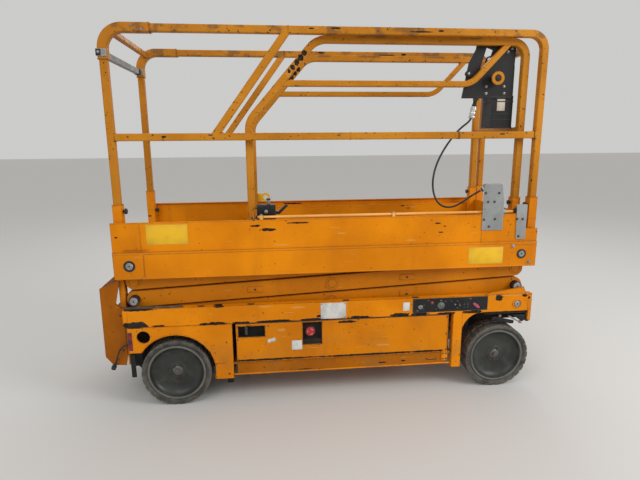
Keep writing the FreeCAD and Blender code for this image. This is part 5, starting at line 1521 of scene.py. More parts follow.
@dataclass
class GroundControls:
    """Switches, lamps and blank marks on the black panel of the near beam."""

    face: float = -404.0
    x: Pair = (501.0, 945.0)
    z: Pair = (485.0, 568.0)

    def dial(self, shape: Shape, place: Pair, profile: Sequence[Pair], finish: int, sides: int = 28) -> None:
        """A turned piece that stands out of the panel."""
        shape.lathe(profile, (place[0], self.face, place[1]), Axis.Y, -1.0, sides, finish)

    def make_switches(self) -> None:
        """Key switch, turning knob, toggles and breakers."""
        shape = Shape("ground_switches", [KNOB, BLACK_PANEL, STEEL])
        ring = [(12.0, -1.0), (12.0, 2.0), (10.4, 3.4), (7.4, 3.4), (7.4, 1.2), (0.0, 1.2)]
        self.dial(shape, (547, 517), ring, 2)
        shape.box((545.6, 548.4), (self.face - 3.6, self.face), (511, 523), 0.4, 1)
        self.dial(shape, (667, 522), [(21.0, -1.0), (21.0, 1.4), (19.0, 3.0), (15.5, 4.0), (14.5, 9.0), (13.0, 10.4),
                                      (0.0, 10.8)], 0, 40)
        for step in range(14):
            turn = 2 * math.pi * step / 14
            x, z = 667 + 14.6 * math.cos(turn), 522 + 14.6 * math.sin(turn)
            shape.rod((x, self.face, z), (x, self.face - 8.6, z), 1.7, 8, 0.5)
        shape.box((665.6, 668.4), (self.face - 12.0, self.face - 9), (523, 536), 0.5, 2)
        for x, lean in ((747, 3.0), (775, -3.0)):
            self.dial(shape, (x, 526), [(9.0, -1.0), (9.0, 2.2), (6.4, 3.0), (6.0, 5.6), (3.4, 7.0), (0.0, 7.0)], 1, 6)
            shape.rod((x, self.face - 3, 526), (x, self.face - 15, 526 + lean), 2.2, 12, 0.5, 2, 3.2)
        for x in (806, 826):
            self.dial(shape, (x, 505), [(7.0, -1.0), (7.0, 1.6), (5.0, 2.4), (4.6, 5.0), (0.0, 5.4)], 1)
        shape.ride("chassis", "black_panel")

    def make_marks(self) -> None:
        """Raised border, small pale strokes and a blank strip."""
        shape = Shape("ground_panel_marks", [BLACK_PANEL, MARKS])
        (west, east), (low, high) = self.x, self.z
        for x, z in (((west, east), (low, low + 4)), ((west, east), (high - 4, high)),
                     ((west, west + 4), (low + 4, high - 4)), ((east - 4, east), (low + 4, high - 4))):
            shape.box(x, (self.face - 1.6, self.face + 1), z, 0.6)
        strokes = ((530, 496, 10), (566, 505, 4), (566, 529, 4), (592, 556, 8), (640, 502, 4), (694, 545, 4),
                   (667, 553, 12), (730, 545, 4), (764, 545, 4), (764, 504, 6), (806, 524, 6), (826, 524, 6),
                   (842, 556, 10))
        for x, z, wide in strokes:
            shape.box((x - wide / 2, x + wide / 2), (self.face - 0.5, self.face + 0.5), (z - 0.9, z + 0.9), 0.0, 1)
        for x in (535, 559):
            shape.box((x - 1, x + 1), (self.face - 0.5, self.face + 0.5), (512, 524), 0.0, 1)
        shape.ride("chassis", "black_panel")

    def make_colours(self) -> None:
        """Red lamp and the slanted pink pad."""
        shape = Shape("ground_lamp_and_pad", [LAMP_RED, PINK, BLACK_PANEL])
        self.dial(shape, (613, 541), [(10.5, -1.0), (10.5, 1.8), (9.0, 2.6), (8.4, 2.6)], 2)
        self.dial(shape, (613, 541), [(8.4, 0.0), (8.4, 2.8), (6.6, 5.0), (3.4, 6.4), (0.0, 6.8)], 0)
        outline = []
        for step in range(24):
            turn = 2 * math.pi * step / 24
            along, across = 25.0 * math.cos(turn), 9.0 * math.sin(turn)
            lean = math.radians(-38)
            outline.append((878 + along * math.cos(lean) - across * math.sin(lean),
                            514 + along * math.sin(lean) + across * math.cos(lean)))
        shape.plate(outline, (self.face - 2.2, self.face + 0.5), Axis.Y, 0.9, 1)
        shape.ride("chassis", "red_plastic")
        studs = Studs("ground_panel_screws", dome_screw("ground_panel_screw", DARK_BOLT), DARK_BOLT)
        for x in (self.x[0] + 12, self.x[1] - 12, 720):
            for z in (self.z[0] + 9, self.z[1] - 9):
                studs.at((x, self.face, z), (0, -1, 0), 0.55)
        studs.ride("chassis", "grey_steel")

    def make(self) -> None:
        """All of the panel's pieces."""
        self.make_switches()
        self.make_marks()
        self.make_colours()


# Swing-out trays


@dataclass
class TrayDoor:
    """Hand hole, seals, labels and load of one swing-out tray."""

    side: Side
    face: float = 405.0
    door_x: Pair = (-499.0, 714.0)
    door_z: Pair = (240.0, 464.0)
    hole_x: Pair = (-488.0, -340.0)
    hole_z: Pair = (386.0, 450.0)
    recess_x: Pair = (-130.0, -21.0)
    recess_z: Pair = (326.0, 458.0)
    stop_at: Pair = (-86.0, 399.0)

    @property
    def name(self) -> str:
        """Name of the tray's body."""
        return "tray_" + self.side.name.lower()

    def frame(self, shape: Shape, x: Pair, z: Pair, wide: float, y: Pair, finish: int = 0) -> None:
        """Four bevelled strips round a rectangular hole."""
        for bar_x, bar_z in (((x[0] - wide, x[1] + wide), (z[1], z[1] + wide)),
                             ((x[0] - wide, x[1] + wide), (z[0] - wide, z[0])),
                             ((x[0] - wide, x[0]), (z[0], z[1])), ((x[1], x[1] + wide), (z[0], z[1]))):
            shape.box(bar_x, y, bar_z, 1.0, finish)

    def cup(self, shape: Shape, x: Pair, z: Pair, deep: float, finish: int) -> None:
        """Thin dark pocket behind a hole."""
        out, back = self.face - 1.0, self.face - deep
        shape.box((x[0] - 2, x[1] + 2), self.side.span(back - 2, back), (z[0] - 2, z[1] + 2), 0.0, finish)
        for bar_x, bar_z in (((x[0] - 1, x[1] + 1), (z[1] - 1, z[1] + 1)), ((x[0] - 1, x[1] + 1), (z[0] - 1, z[0] + 1)),
                             ((x[0] - 1, x[0] + 1), z), ((x[1] - 1, x[1] + 1), z)):
            shape.box(bar_x, self.side.span(back, out), bar_z, 0.0, finish)

    def make_door(self) -> None:
        """Lips, rubber strips, pockets and the latch of the door."""
        lips = Shape(self.name + "_lips", [PAINT_LOW_SHADED])
        span = self.side.span(self.face - 5.0, self.face + 1.4)
        self.frame(lips, self.hole_x, self.hole_z, 5.0, span)
        lips.box(self.door_x, self.side.span(self.face - 4.0, self.face + 1.0), (236.5, 242.0), 0.9)
        lips.box((self.door_x[0] - 1.2, self.door_x[0] + 5), self.side.span(self.face - 6, self.face + 1.0),
                 self.door_z, 0.9)
        lips.box((self.door_x[1] - 5, self.door_x[1] + 1.2), self.side.span(self.face - 6, self.face + 1.0),
                 self.door_z, 0.9)
        lips.ride(self.name, "paint")
        dark = Shape(self.name + "_pockets", [DARK_INSIDE, BLACK_STEEL, DARK_BOLT])
        self.cup(dark, self.hole_x, self.hole_z, 33.0, 0)
        dark.box(self.door_x, self.side.span(self.face - 6.0, self.face - 0.4), (463.5, 467.4), 0.8, 1)
        dark.box((-452, -436), self.side.span(self.face - 30.0, self.face - 12.0), (392, 444), 2.0, 2)
        dark.rod((-444, self.side.y(self.face - 30), 418), (-444, self.side.y(self.face - 8), 418), 6.0, 16, 1.0, 2)
        dark.ride(self.name, "black_panel")
        studs = Studs(self.name + "_screws", dome_screw(self.name + "_screw", DARK_BOLT), DARK_BOLT)
        for x, z in ((-492, 252), (-492, 372), (-320, 446), (706, 252), (706, 350), (706, 452), (120, 250),
                     (410, 250), (-240, 250)):
            studs.at((x, self.side.y(self.face), z), (0, self.side.value, 0), 0.7)
        studs.ride(self.name, "grey_steel")

    def make_stop(self) -> None:
        """Dark lining, slanted floor and collar of the stop button's recess."""
        (west, east), (low, high) = self.recess_x, self.recess_z
        back = self.face - 24.0
        shape = Shape("stop_recess", [DARK_INSIDE, PAINT_LOW_SHADED, BLACK_PANEL])
        for x, z in (((west, east), (high - 1.4, high)), ((west, west + 1.4), (low, high)),
                     ((east - 1.4, east), (low, high))):
            shape.box(x, self.side.span(back, self.face - 2.0), z, 0.0, 0)
        shape.box((west, east), self.side.span(back, back + 1.2), (low, high), 0.0, 0)
        for step in range(6):
            deep = 23.0 * (1 - step / 6)
            base = self.face - deep
            shape.box((west + 1.5, east - 1.5), self.side.span(back + 1.0, base - 0.6),
                      (low, low + 4.0 + step * 5.0), 0.5, 0)
        self.frame(shape, (west, east), (low, high), 4.5, self.side.span(self.face - 4.0, self.face + 1.3), 1)
        centre = (self.stop_at[0], self.side.y(back), self.stop_at[1])
        shape.lathe([(30.0, 0.0), (30.0, 2.4), (28.6, 3.2), (23.0, 3.2), (22.4, 6.4), (21.2, 6.4)], centre, Axis.Y,
                    self.side.value, 40, 2)
        shape.ride(self.name, "black_panel")
        marks = Shape("stop_arrows", [WHITE_PLATE])
        top = self.face - 24.0 + 19.0
        for turn in (30, 150, 270):
            for step in range(5):
                angle = math.radians(turn + step * 12)
                x, z = self.stop_at[0] + 16 * math.cos(angle), self.stop_at[1] + 16 * math.sin(angle)
                marks.box((x - 1.6, x + 1.6), self.side.span(top - 0.5, top + 0.35), (z - 1.0, z + 1.0))
        marks.ride(self.name, "red_plastic")

    def make_labels(self) -> None:
        """Blank labels, one of them torn."""
        shape = Shape(self.name + "_labels", [WHITE_PLATE])
        flat = self.side.span(self.face - 0.4, self.face + 0.7)
        shape.box((-192, -133), flat, (297, 353), 0.3)
        shape.plate(((-331, 351), (-322, 368), (-301, 371), (-287, 379), (-280, 362), (-289, 350), (-304, 355),
                     (-314, 345)), flat, Axis.Y, 0.2)
        if self.side is Side.FAR:
            shape.box((300, 420), flat, (330, 400), 0.3)
        shape.ride(self.name, "grey_steel")

    def make_batteries(self) -> None:
        """Filler caps, terminals and links of the four batteries."""
        caps = Studs("battery_caps", star_knob("battery_cap", BLACK_PANEL), BLACK_PANEL)
        posts = Studs("battery_posts", hex_bolt("battery_post", STEEL), STEEL)
        links = Shape("battery_links", [SHEATH])
        for index in range(4):
            west = -440.0 + index * 262.0
            for step in range(3):
                for y in (205.0, 275.0):
                    caps.at((west + 70 + step * 55, self.side.y(y), 438.5), (0, 0, 1), 0.45)
            for x, y in ((west + 30, 175.0), (west + 220, 305.0)):
                posts.at((x, self.side.y(y), 440.0), (0, 0, 1), 0.8)
            if index < 3:
                a, b = (west + 220, self.side.y(305.0), 444.5), (west + 292, self.side.y(175.0), 444.5)
                middle = [(a[0] + (b[0] - a[0]) * t, a[1] + (b[1] - a[1]) * t, 444.5) for t in (0.25, 0.5, 0.75)]
                links.tube([a, *middle, b], 4.2, 10)
            links.box((west + 4, west + 246), self.side.span(150.0, 331.0), (300, 306), 1.2)
        caps.ride(self.name, "black_panel")
        posts.ride(self.name, "grey_steel")
        links.ride(self.name, "cable_black")

    def make_power_unit(self) -> None:
        """Filler, coils, hoses and bands of the hydraulic unit."""
        shape = Shape("power_unit_fittings", [STEEL, BLACK_PANEL, KNOB])
        mid = self.side.y(245.0)
        shape.lathe([(26.0, -1.0), (26.0, 2.0), (20.0, 3.0), (20.0, 7.0), (17.0, 8.6), (0.0, 8.6)], (-240, mid, 440.0),
                    Axis.Z, 1.0, 32, 1)
        for x in (290.0, 370.0, 450.0, 520.0):
            shape.rod((x, mid, 399.0), (x, mid, 420.0), 17.0, 24, 1.4, 1)
            shape.rod((x, mid, 419.0), (x, mid, 432.0), 8.0, 6, 1.0)
        for x in (-50.0, 20.0, 225.0):
            shape.lathe([(70.5, 0.0), (72.5, 0.8), (72.5, 5.2), (70.5, 6.0)], (x, mid, 350.0), Axis.X, 1.0, 48, 2)
        for x, z in ((-400, 300), (-400, 420), (-80, 300), (-80, 420)):
            shape.rod((x, self.side.y(339.0), z), (x, self.side.y(344.5), z), 7.0, 6, 0.8)
        shape.ride(self.name, "grey_steel")
        hoses = Shape("power_unit_hoses", [SHEATH])
        for y, z in ((180.0, 380.0), (300.0, 370.0)):
            line = [(x, self.side.y(y), z + rise) for x, rise in
                    ((238, -20), (200, 12), (120, 30), (20, 34), (-40, 20), (-70, 0))]
            hoses.tube(Cords.line(line), 7.0, 12)
        hoses.ride(self.name, "cable_black")

    def make(self) -> None:
        """All of the tray's pieces."""
        self.make_door()
        self.make_labels()
        if self.side is Side.NEAR:
            self.make_stop()
            self.make_batteries()
        else:
            self.make_power_unit()


# Scissor stack


@dataclass
class Scissor:
    """Washers, weld collars and grease points of the arms."""

    pin_x: float = 1125.0
    roller_x: float = -1035.0
    pin_z: float = 514.0
    rise: float = 100.0
    inner: Pair = (262.0, 302.0)
    outer: Pair = (310.0, 350.0)
    shares: Sequence[tuple[int, Sequence[float]]] = ((1, (0.12, 0.94)), (2, (0.06, 0.94)), (3, (0.06, 0.55, 0.94)))

    def ends(self, stage: int, inner: bool) -> tuple[Pair, Pair]:
        """Front and rear pins, (x, z), of a stage's arms."""
        low = self.pin_z + (stage - 1) * self.rise
        high = low + self.rise
        return ((self.pin_x, low if inner else high), (self.roller_x, high if inner else low))

    def washer(self, shape: Shape, x: float, z: float, face: float, side: Side) -> None:
        """A thick painted washer against a face."""
        shape.lathe([(26.0, -0.5), (26.0, 2.6), (27.0, 3.4), (35.0, 3.4), (36.4, 2.0), (36.4, -0.5)],
                    (x, side.y(face), z), Axis.Y, side.value, 36, 1, True)

    def make_arms(self, stage: int) -> None:
        """Washers, seams and pads of a stage's outer and inner arms."""
        outer = Shape(f"outer_arm_fittings_{stage}", [BLACK_STEEL, PAINT_ARMS_SHADED])
        inner = Shape(f"inner_arm_fittings_{stage}", [BLACK_STEEL, PAINT_ARMS_SHADED])
        for side in Side:
            front, rear = self.ends(stage, False)
            middle = ((front[0] + rear[0]) / 2, (front[1] + rear[1]) / 2)
            for x, z in (front, middle) if stage == 1 else (front, middle, rear):
                self.washer(outer, x, z, self.outer[1], side)
            for share in (0.3, 0.7):
                x = front[0] + (rear[0] - front[0]) * share
                z = front[1] + (rear[1] - front[1]) * share
                outer.box((x - 42, x + 42), side.span(self.outer[1] - 0.5, self.outer[1] + 3.2), (z - 17, z + 17), 1.4,
                          1)
                outer.rod((x, side.y(self.outer[1]), z), (x, side.y(self.outer[1] + 5.4), z), 6.0, 6, 0.8)
            front, rear = self.ends(stage, True)
            for number, places in self.shares:
                for share in places if number == stage else ():
                    x = front[0] + (rear[0] - front[0]) * share
                    z = front[1] + (rear[1] - front[1]) * share
                    inner.lathe([(28.0, 0.0), (33.5, 0.0), (34.0, 2.0), (30.0, 6.0), (28.0, 6.4)],
                                (x, side.y(self.inner[0]), z), Axis.Y, -side.value, 32, 1)
        outer.ride(f"outer_{stage}", "black_steel")
        inner.ride(f"inner_{stage}", "paint")

    def make_rollers(self) -> None:
        """Faces of the guide rollers at both ends of the stack."""
        for label, body, z, face in (("low", "outer_1", self.pin_z, self.inner[0] + 2),
                                     ("high", "inner_3", self.pin_z + 3 * self.rise, self.outer[1] - 2)):
            shape = Shape("roller_faces_" + label, [BLACK_PANEL, STEEL])
            for side in Side:
                way = -side.value if label == "low" else side.value
                centre = (self.roller_x, side.y(face), z)
                shape.lathe([(33.0, -0.5), (33.0, 1.0), (29.0, 2.2), (19.0, 2.2), (18.0, 0.8), (13.0, 0.8)], centre,
                            Axis.Y, way, 40)
                shape.lathe([(13.0, -0.5), (13.0, 3.0), (11.0, 4.2), (0.0, 4.2)], centre, Axis.Y, way, 24, 1)
            shape.ride(body, "black_steel")

    def make(self) -> None:
        """All stages."""
        for stage in (1, 2, 3):
            self.make_arms(stage)
        self.make_rollers()
        heads = (PinHead("low_front", "chassis", self.pin_x, self.pin_z, 405.0, 29.0, 17.0, collar=PAINT_CHASSIS),
                 PinHead("rear_joint", "inner_1", self.roller_x, self.pin_z + self.rise, 388.0, 28.0, 20.0, 4.0, 34.0),
                 PinHead("front_joint", "inner_2", self.pin_x, self.pin_z + self.rise, 388.0, 28.0, 21.0, 4.0, 34.0),
                 PinHead("top_front", "platform", self.pin_x, self.pin_z + 3 * self.rise, 405.0, 27.0, 16.5),
                 PinHead("top_rear", "platform", self.roller_x, self.pin_z + 3 * self.rise, 406.0, 30.0, 18.0))
        for head in heads:
            head.make()


# Platform


@dataclass
class Platform:
    """Plates, labels, bolts and collars of the platform's frame, toe boards and fixed rails."""

    side_face: float = 405.0
    toe_face: float = 399.0
    rail_y: float = 350.0
    rail: float = 38.0
    sleeve: float = 46.0
    rear_post: float = -1081.0
    front_post: float = 1189.7
    top: float = 1998.0
    middle: float = 1476.0
    rear: float = -1117.0
    front: float = 1213.0

    def collar(self, shape: Shape, place: Triple, axis: Axis, half: float, run: float = 3.0, swell: float = 1.7,
               finish: int = 0) -> None:
        """A weld all round a square tube, centred at a place along the tube's axis."""
        spans = []
        for index in range(3):
            reach = run if index == axis.value else half + swell
            spans.append((place[index] - reach, place[index] + reach))
        shape.box(spans[0], spans[1], spans[2], 1.3, finish)

    def make_sides(self) -> None:
        """Corner plates, seams and rolled edges of the frame's sides."""
        shape = Shape("platform_side_plates", [PAINT_SIDE])
        for side in Side:
            skin = side.span(self.side_face - 1.0, self.side_face + 1.6)
            shape.plate(((self.rear, 744), (-976, 744), (-962, 758), (-962, 886), (self.rear, 886)), skin, Axis.Y, 0.8)
            shape.bead((self.rear + 2, side.y(self.side_face - 0.6), 876.0), Axis.X, 2326.0, 2.2)
            shape.bead((-1062.0, side.y(self.side_face + 1.2), 900.0), Axis.X, 136.0, 2.2)
            shape.bead((-958.0, side.y(self.side_face), 747.0), Axis.Z, 122.0, 2.0)
            shape.rod((self.rear + 3, side.y(402.0), 744.0), (self.front - 3, side.y(402.0), 744.0), 4.2, 14, 0.6)
            shape.rod((self.rear + 2, side.y(397.5), 1041.0), (1143.0, side.y(397.5), 1041.0), 2.8, 12, 0.5)
            shape.box((self.rear, self.front), side.span(self.side_face - 2, self.side_face + 0.8), (873.5, 886.5),
                      0.8)
            shape.box((1060, self.front), side.span(self.side_face - 4, self.side_face + 1.6), (864, 882), 0.8)
            shape.box((-973, -967), side.span(self.toe_face - 2, self.toe_face + 1.1), (886, 1040), 0.7)
            shape.box((881, 887), side.span(self.toe_face - 2, self.toe_face + 1.1), (886, 955), 0.7)
        shape.box((self.rear - 0.8, self.rear + 2), (-404.0, 404.0), (873.5, 886.5), 0.8)
        shape.box((self.front - 2, self.front + 0.8), (-404.0, 404.0), (873.5, 884.4), 0.8)
        shape.ride("platform", "paint")

    def make_labels(self) -> None:
        """Blank yellow stickers of both sides and one at the front end."""
        yellow = Shape("platform_blank_stickers", [YELLOW_PLATE])
        for side in Side:
            yellow.box((-939, -727), side.span(self.toe_face - 0.4, self.toe_face + 0.7), (925, 1030), 0.3)
            yellow.box((813, 1015), side.span(self.side_face - 0.4, self.side_face + 0.7), (762, 858), 0.3)
        yellow.box((self.front - 0.4, self.front + 0.8), (-90, 90), (790, 850), 0.3)
        yellow.ride("platform", "paint")

    def make_bolts(self) -> None:
        """Bolts of the corner plates, sockets, guides and sleeves."""
        bolts = Studs("platform_bolts", hex_bolt("platform_bolt", DARK_BOLT), DARK_BOLT)
        bright = Studs("side_bolts", hex_bolt("side_bolt", STEEL), STEEL)
        for side in Side:
            out = (0, side.value, 0)
            for x, z in ((1072, 859), (1174, 766)):
                bright.at((x, side.y(self.side_face), z), out, 1.25)
            for x in (self.rear_post, self.front_post):
                bolts.at((x, side.y(373.3), 925), out, 0.9)
        for x, z in ((969, 1163), (892, 1164), (908, 1115), (945, 1115), (891, 1016), (955, 1018), (922, 976),
                     (1085, 1015), (1117, 1014), (1100, 916)):
            bolts.at((x, -404.0, z), (0, -1, 0), 0.8)
        for y in (-300.0, -100.0, 100.0, 300.0):
            bolts.at((self.front, y, 820), (1, 0, 0), 0.85)
            bolts.at((self.rear, y, 820), (-1, 0, 0), 0.85)
        bolts.ride("platform", "grey_steel")
        bright.ride("platform", "grey_steel")
        screws = Studs("sleeve_screws", dome_screw("sleeve_screw", STEEL), STEEL)
        for side in Side:
            for x, z in ((-888, 1988), (-935, 2004), (-1081, 1862)):
                screws.at((x, side.y(self.rail_y + self.sleeve / 2), z), (0, side.value, 0), 0.9)
            screws.at((self.rear_post - self.sleeve / 2, side.y(self.rail_y), 1862), (-1, 0, 0), 0.9)
        screws.ride("platform", "grey_steel")
        knobs = Studs("locking_knobs", star_knob("locking_knob", BLACK_PANEL), BLACK_PANEL)
        knobs.at((self.rear_post + 23.3, -self.rail_y, 1098), (1, 0, 0))
        knobs.at((self.rear_post + 23.3, self.rail_y, 1006), (1, 0, 0))
        knobs.at((self.front_post - 23.3, -self.rail_y, 1088), (-1, 0, 0))
        knobs.at((self.front_post - 23.3, self.rail_y, 1088), (-1, 0, 0))
        knobs.ride("platform", "black_steel")

    def make_rails(self) -> None:
        """Weld collars and rolled rims of the fixed rails and sockets."""
        shape = Shape("fixed_rail_welds", [PAINT, PAINT_SIDE])
        half = self.rail / 2
        for side in Side:
            y = side.y(self.rail_y)
            for x in (self.rear_post + half + 1, self.front_post - half - 1):
                self.collar(shape, (x, y, self.middle), Axis.X, half)
            for x in (-177.0, -846.0):
                self.collar(shape, (x, y, self.top), Axis.X, half, 2.0, 1.2)
            for x in (142.0, 737.0):
                self.collar(shape, (x, y, self.middle), Axis.X, half, 2.4, 0.7)
            self.collar(shape, (-853.0, y, self.top), Axis.X, self.sleeve / 2, 2.2, 1.2)
            self.collar(shape, (self.rear_post, y, 1850.0), Axis.Z, self.sleeve / 2, 2.2, 1.2)
            shape.box((-224, -182), side.span(self.rail_y - 14, self.rail_y + 14), (self.top - 23, self.top - 18), 1.6)
            shape.box((-566, -520), side.span(self.rail_y - 14, self.rail_y + 14),
                      (self.middle + 18, self.middle + 23), 1.6)
            for x in (self.rear_post, self.front_post):
                for z in (1131.0, 1010.0):
                    self.collar(shape, (x, y, z), Axis.Z, 23.3, 2.0, 1.4, 1)
                shape.bead((x - 23.0, side.y(self.rail_y - 24.0), 885.5), Axis.X, 46.0, 2.8, 1)
        for side in Side:
            self.collar(shape, (-1038.4, side.y(324.0), 1979.9), Axis.Y, 15.0, 3.0)
        shape.ride("platform", "paint")
        marks = Shape("burnt_weld_marks", [DARK_INSIDE])
        for side in Side:
            y = side.y(self.rail_y)
            for x, run in ((739.0, 2.6), (731.0, 1.4), (self.front_post - half - 6.0, 1.6)):
                self.collar(marks, (x, y, self.middle), Axis.X, half, run, 0.95)
            for x, wide, z, tall in ((752.0, 12.0, 1490.0, 4.0), (968.0, 26.0, 1484.0, 6.0), (1002.0, 13.0, 1488.0, 4.0),
                                     (-596.0, 22.0, 1487.0, 5.0), (-574.0, 9.0, 1471.0, 7.0)):
                marks.box((x, x + wide), side.span(self.rail_y + half - 1.0, self.rail_y + half + 0.35),
                          (z - tall, z + tall * 0.2), 0.3)
        marks.ride("platform", "paint")

    def make_rod_fittings(self) -> None:
        """Mint sleeve, end pieces and clips of the long rod on the near toe board."""
        rod_y, rod_z = -384.0, 1056.0
        shape = Shape("rod_fittings", [MINT, BLACK_STEEL, STEEL])
        shape.lathe([(7.2, 0.0), (11.5, 0.0), (12.4, 1.4), (12.4, 22.0), (10.0, 25.0), (10.0, 31.0), (7.2, 31.0)],
                    (997.0, rod_y, rod_z), Axis.X, 1.0, 24)
        shape.lathe([(7.2, 0.0), (11.0, 0.0), (11.6, 1.0), (11.6, 13.0), (9.0, 15.0), (9.0, 22.0), (7.2, 22.0)],
                    (1066.0, rod_y, rod_z), Axis.X, 1.0, 6, 1)
        for x in (-365.0, 1134.0):
            shape.lathe([(0.0, -4.0), (6.5, -4.0), (9.0, -2.0), (9.0, 5.0), (7.0, 6.0)], (x, rod_y, rod_z), Axis.X,
                        -1.0 if x > 0 else 1.0, 20, 1)
        for x in (-340.0, 380.0, 1105.0):
            shape.rod((x, rod_y, 1066.0), (x, rod_y, 1071.5), 5.4, 6, 0.8, 2)
            shape.lathe([(7.1, -11.5), (9.6, -11.5), (9.6, 11.5), (7.1, 11.5)], (x, rod_y, rod_z), Axis.X, 1.0, 20, 2)
        shape.ride("platform", "black_steel")
        clip = Shape("cable_saddle", [BLACK_PANEL, BRIGHT_STEEL])
        centre = Vector((893.0, -377.2, 1187.2))
        way = Vector((42.0, -24.0, 31.0)).normalized()
        for shift, wide in ((-13.0, 12.4), (-4.0, 11.6), (6.0, 12.4)):
            clip.rod(centre + way * (shift - 3.2), centre + way * (shift + 3.2), wide, 6 if wide > 12 else 24, 0.8,
                     0 if wide > 12 else 1)
        clip.ride("platform", "black_panel")

    def make_gate_bar(self) -> None:
        """Bolts, rubber faces and end caps of the drop bar."""
        shape = Shape("gate_bar_fittings", [BLACK_PANEL, STEEL, LIGHT_GREY])
        for side in Side:
            shape.box((-1108.9, -1085), side.span(377.3, 379.4), (1864.5, 1895.5), 1.0, 0)
            shape.box((-1111.0, -1108.2), side.span(326.0, 374.0), (1864.5, 1895.5), 1.2, 0)
            shape.rod((-1096, side.y(377.0), 1880), (-1096, side.y(384.5), 1880), 7.0, 6, 0.8, 1)
            shape.rod((-1114.5, side.y(350.0), 1880), (-1110, side.y(350.0), 1880), 9.0, 24, 1.0, 1)
            shape.box((-1111, -1076), side.span(296.0, 324.0), (1863.5, 1896.5), 2.0, 0)
        shape.box((-1110.0, -1107.5), (-180, 180), (1870, 1890), 1.0, 2)
        shape.ride("gate_bar", "black_panel")

    def make(self) -> None:
        """All of the platform's added pieces."""
        self.make_sides()
        self.make_labels()
        self.make_bolts()
        self.make_rails()
        self.make_rod_fittings()
        self.make_gate_bar()


# Sliding extension and its controls


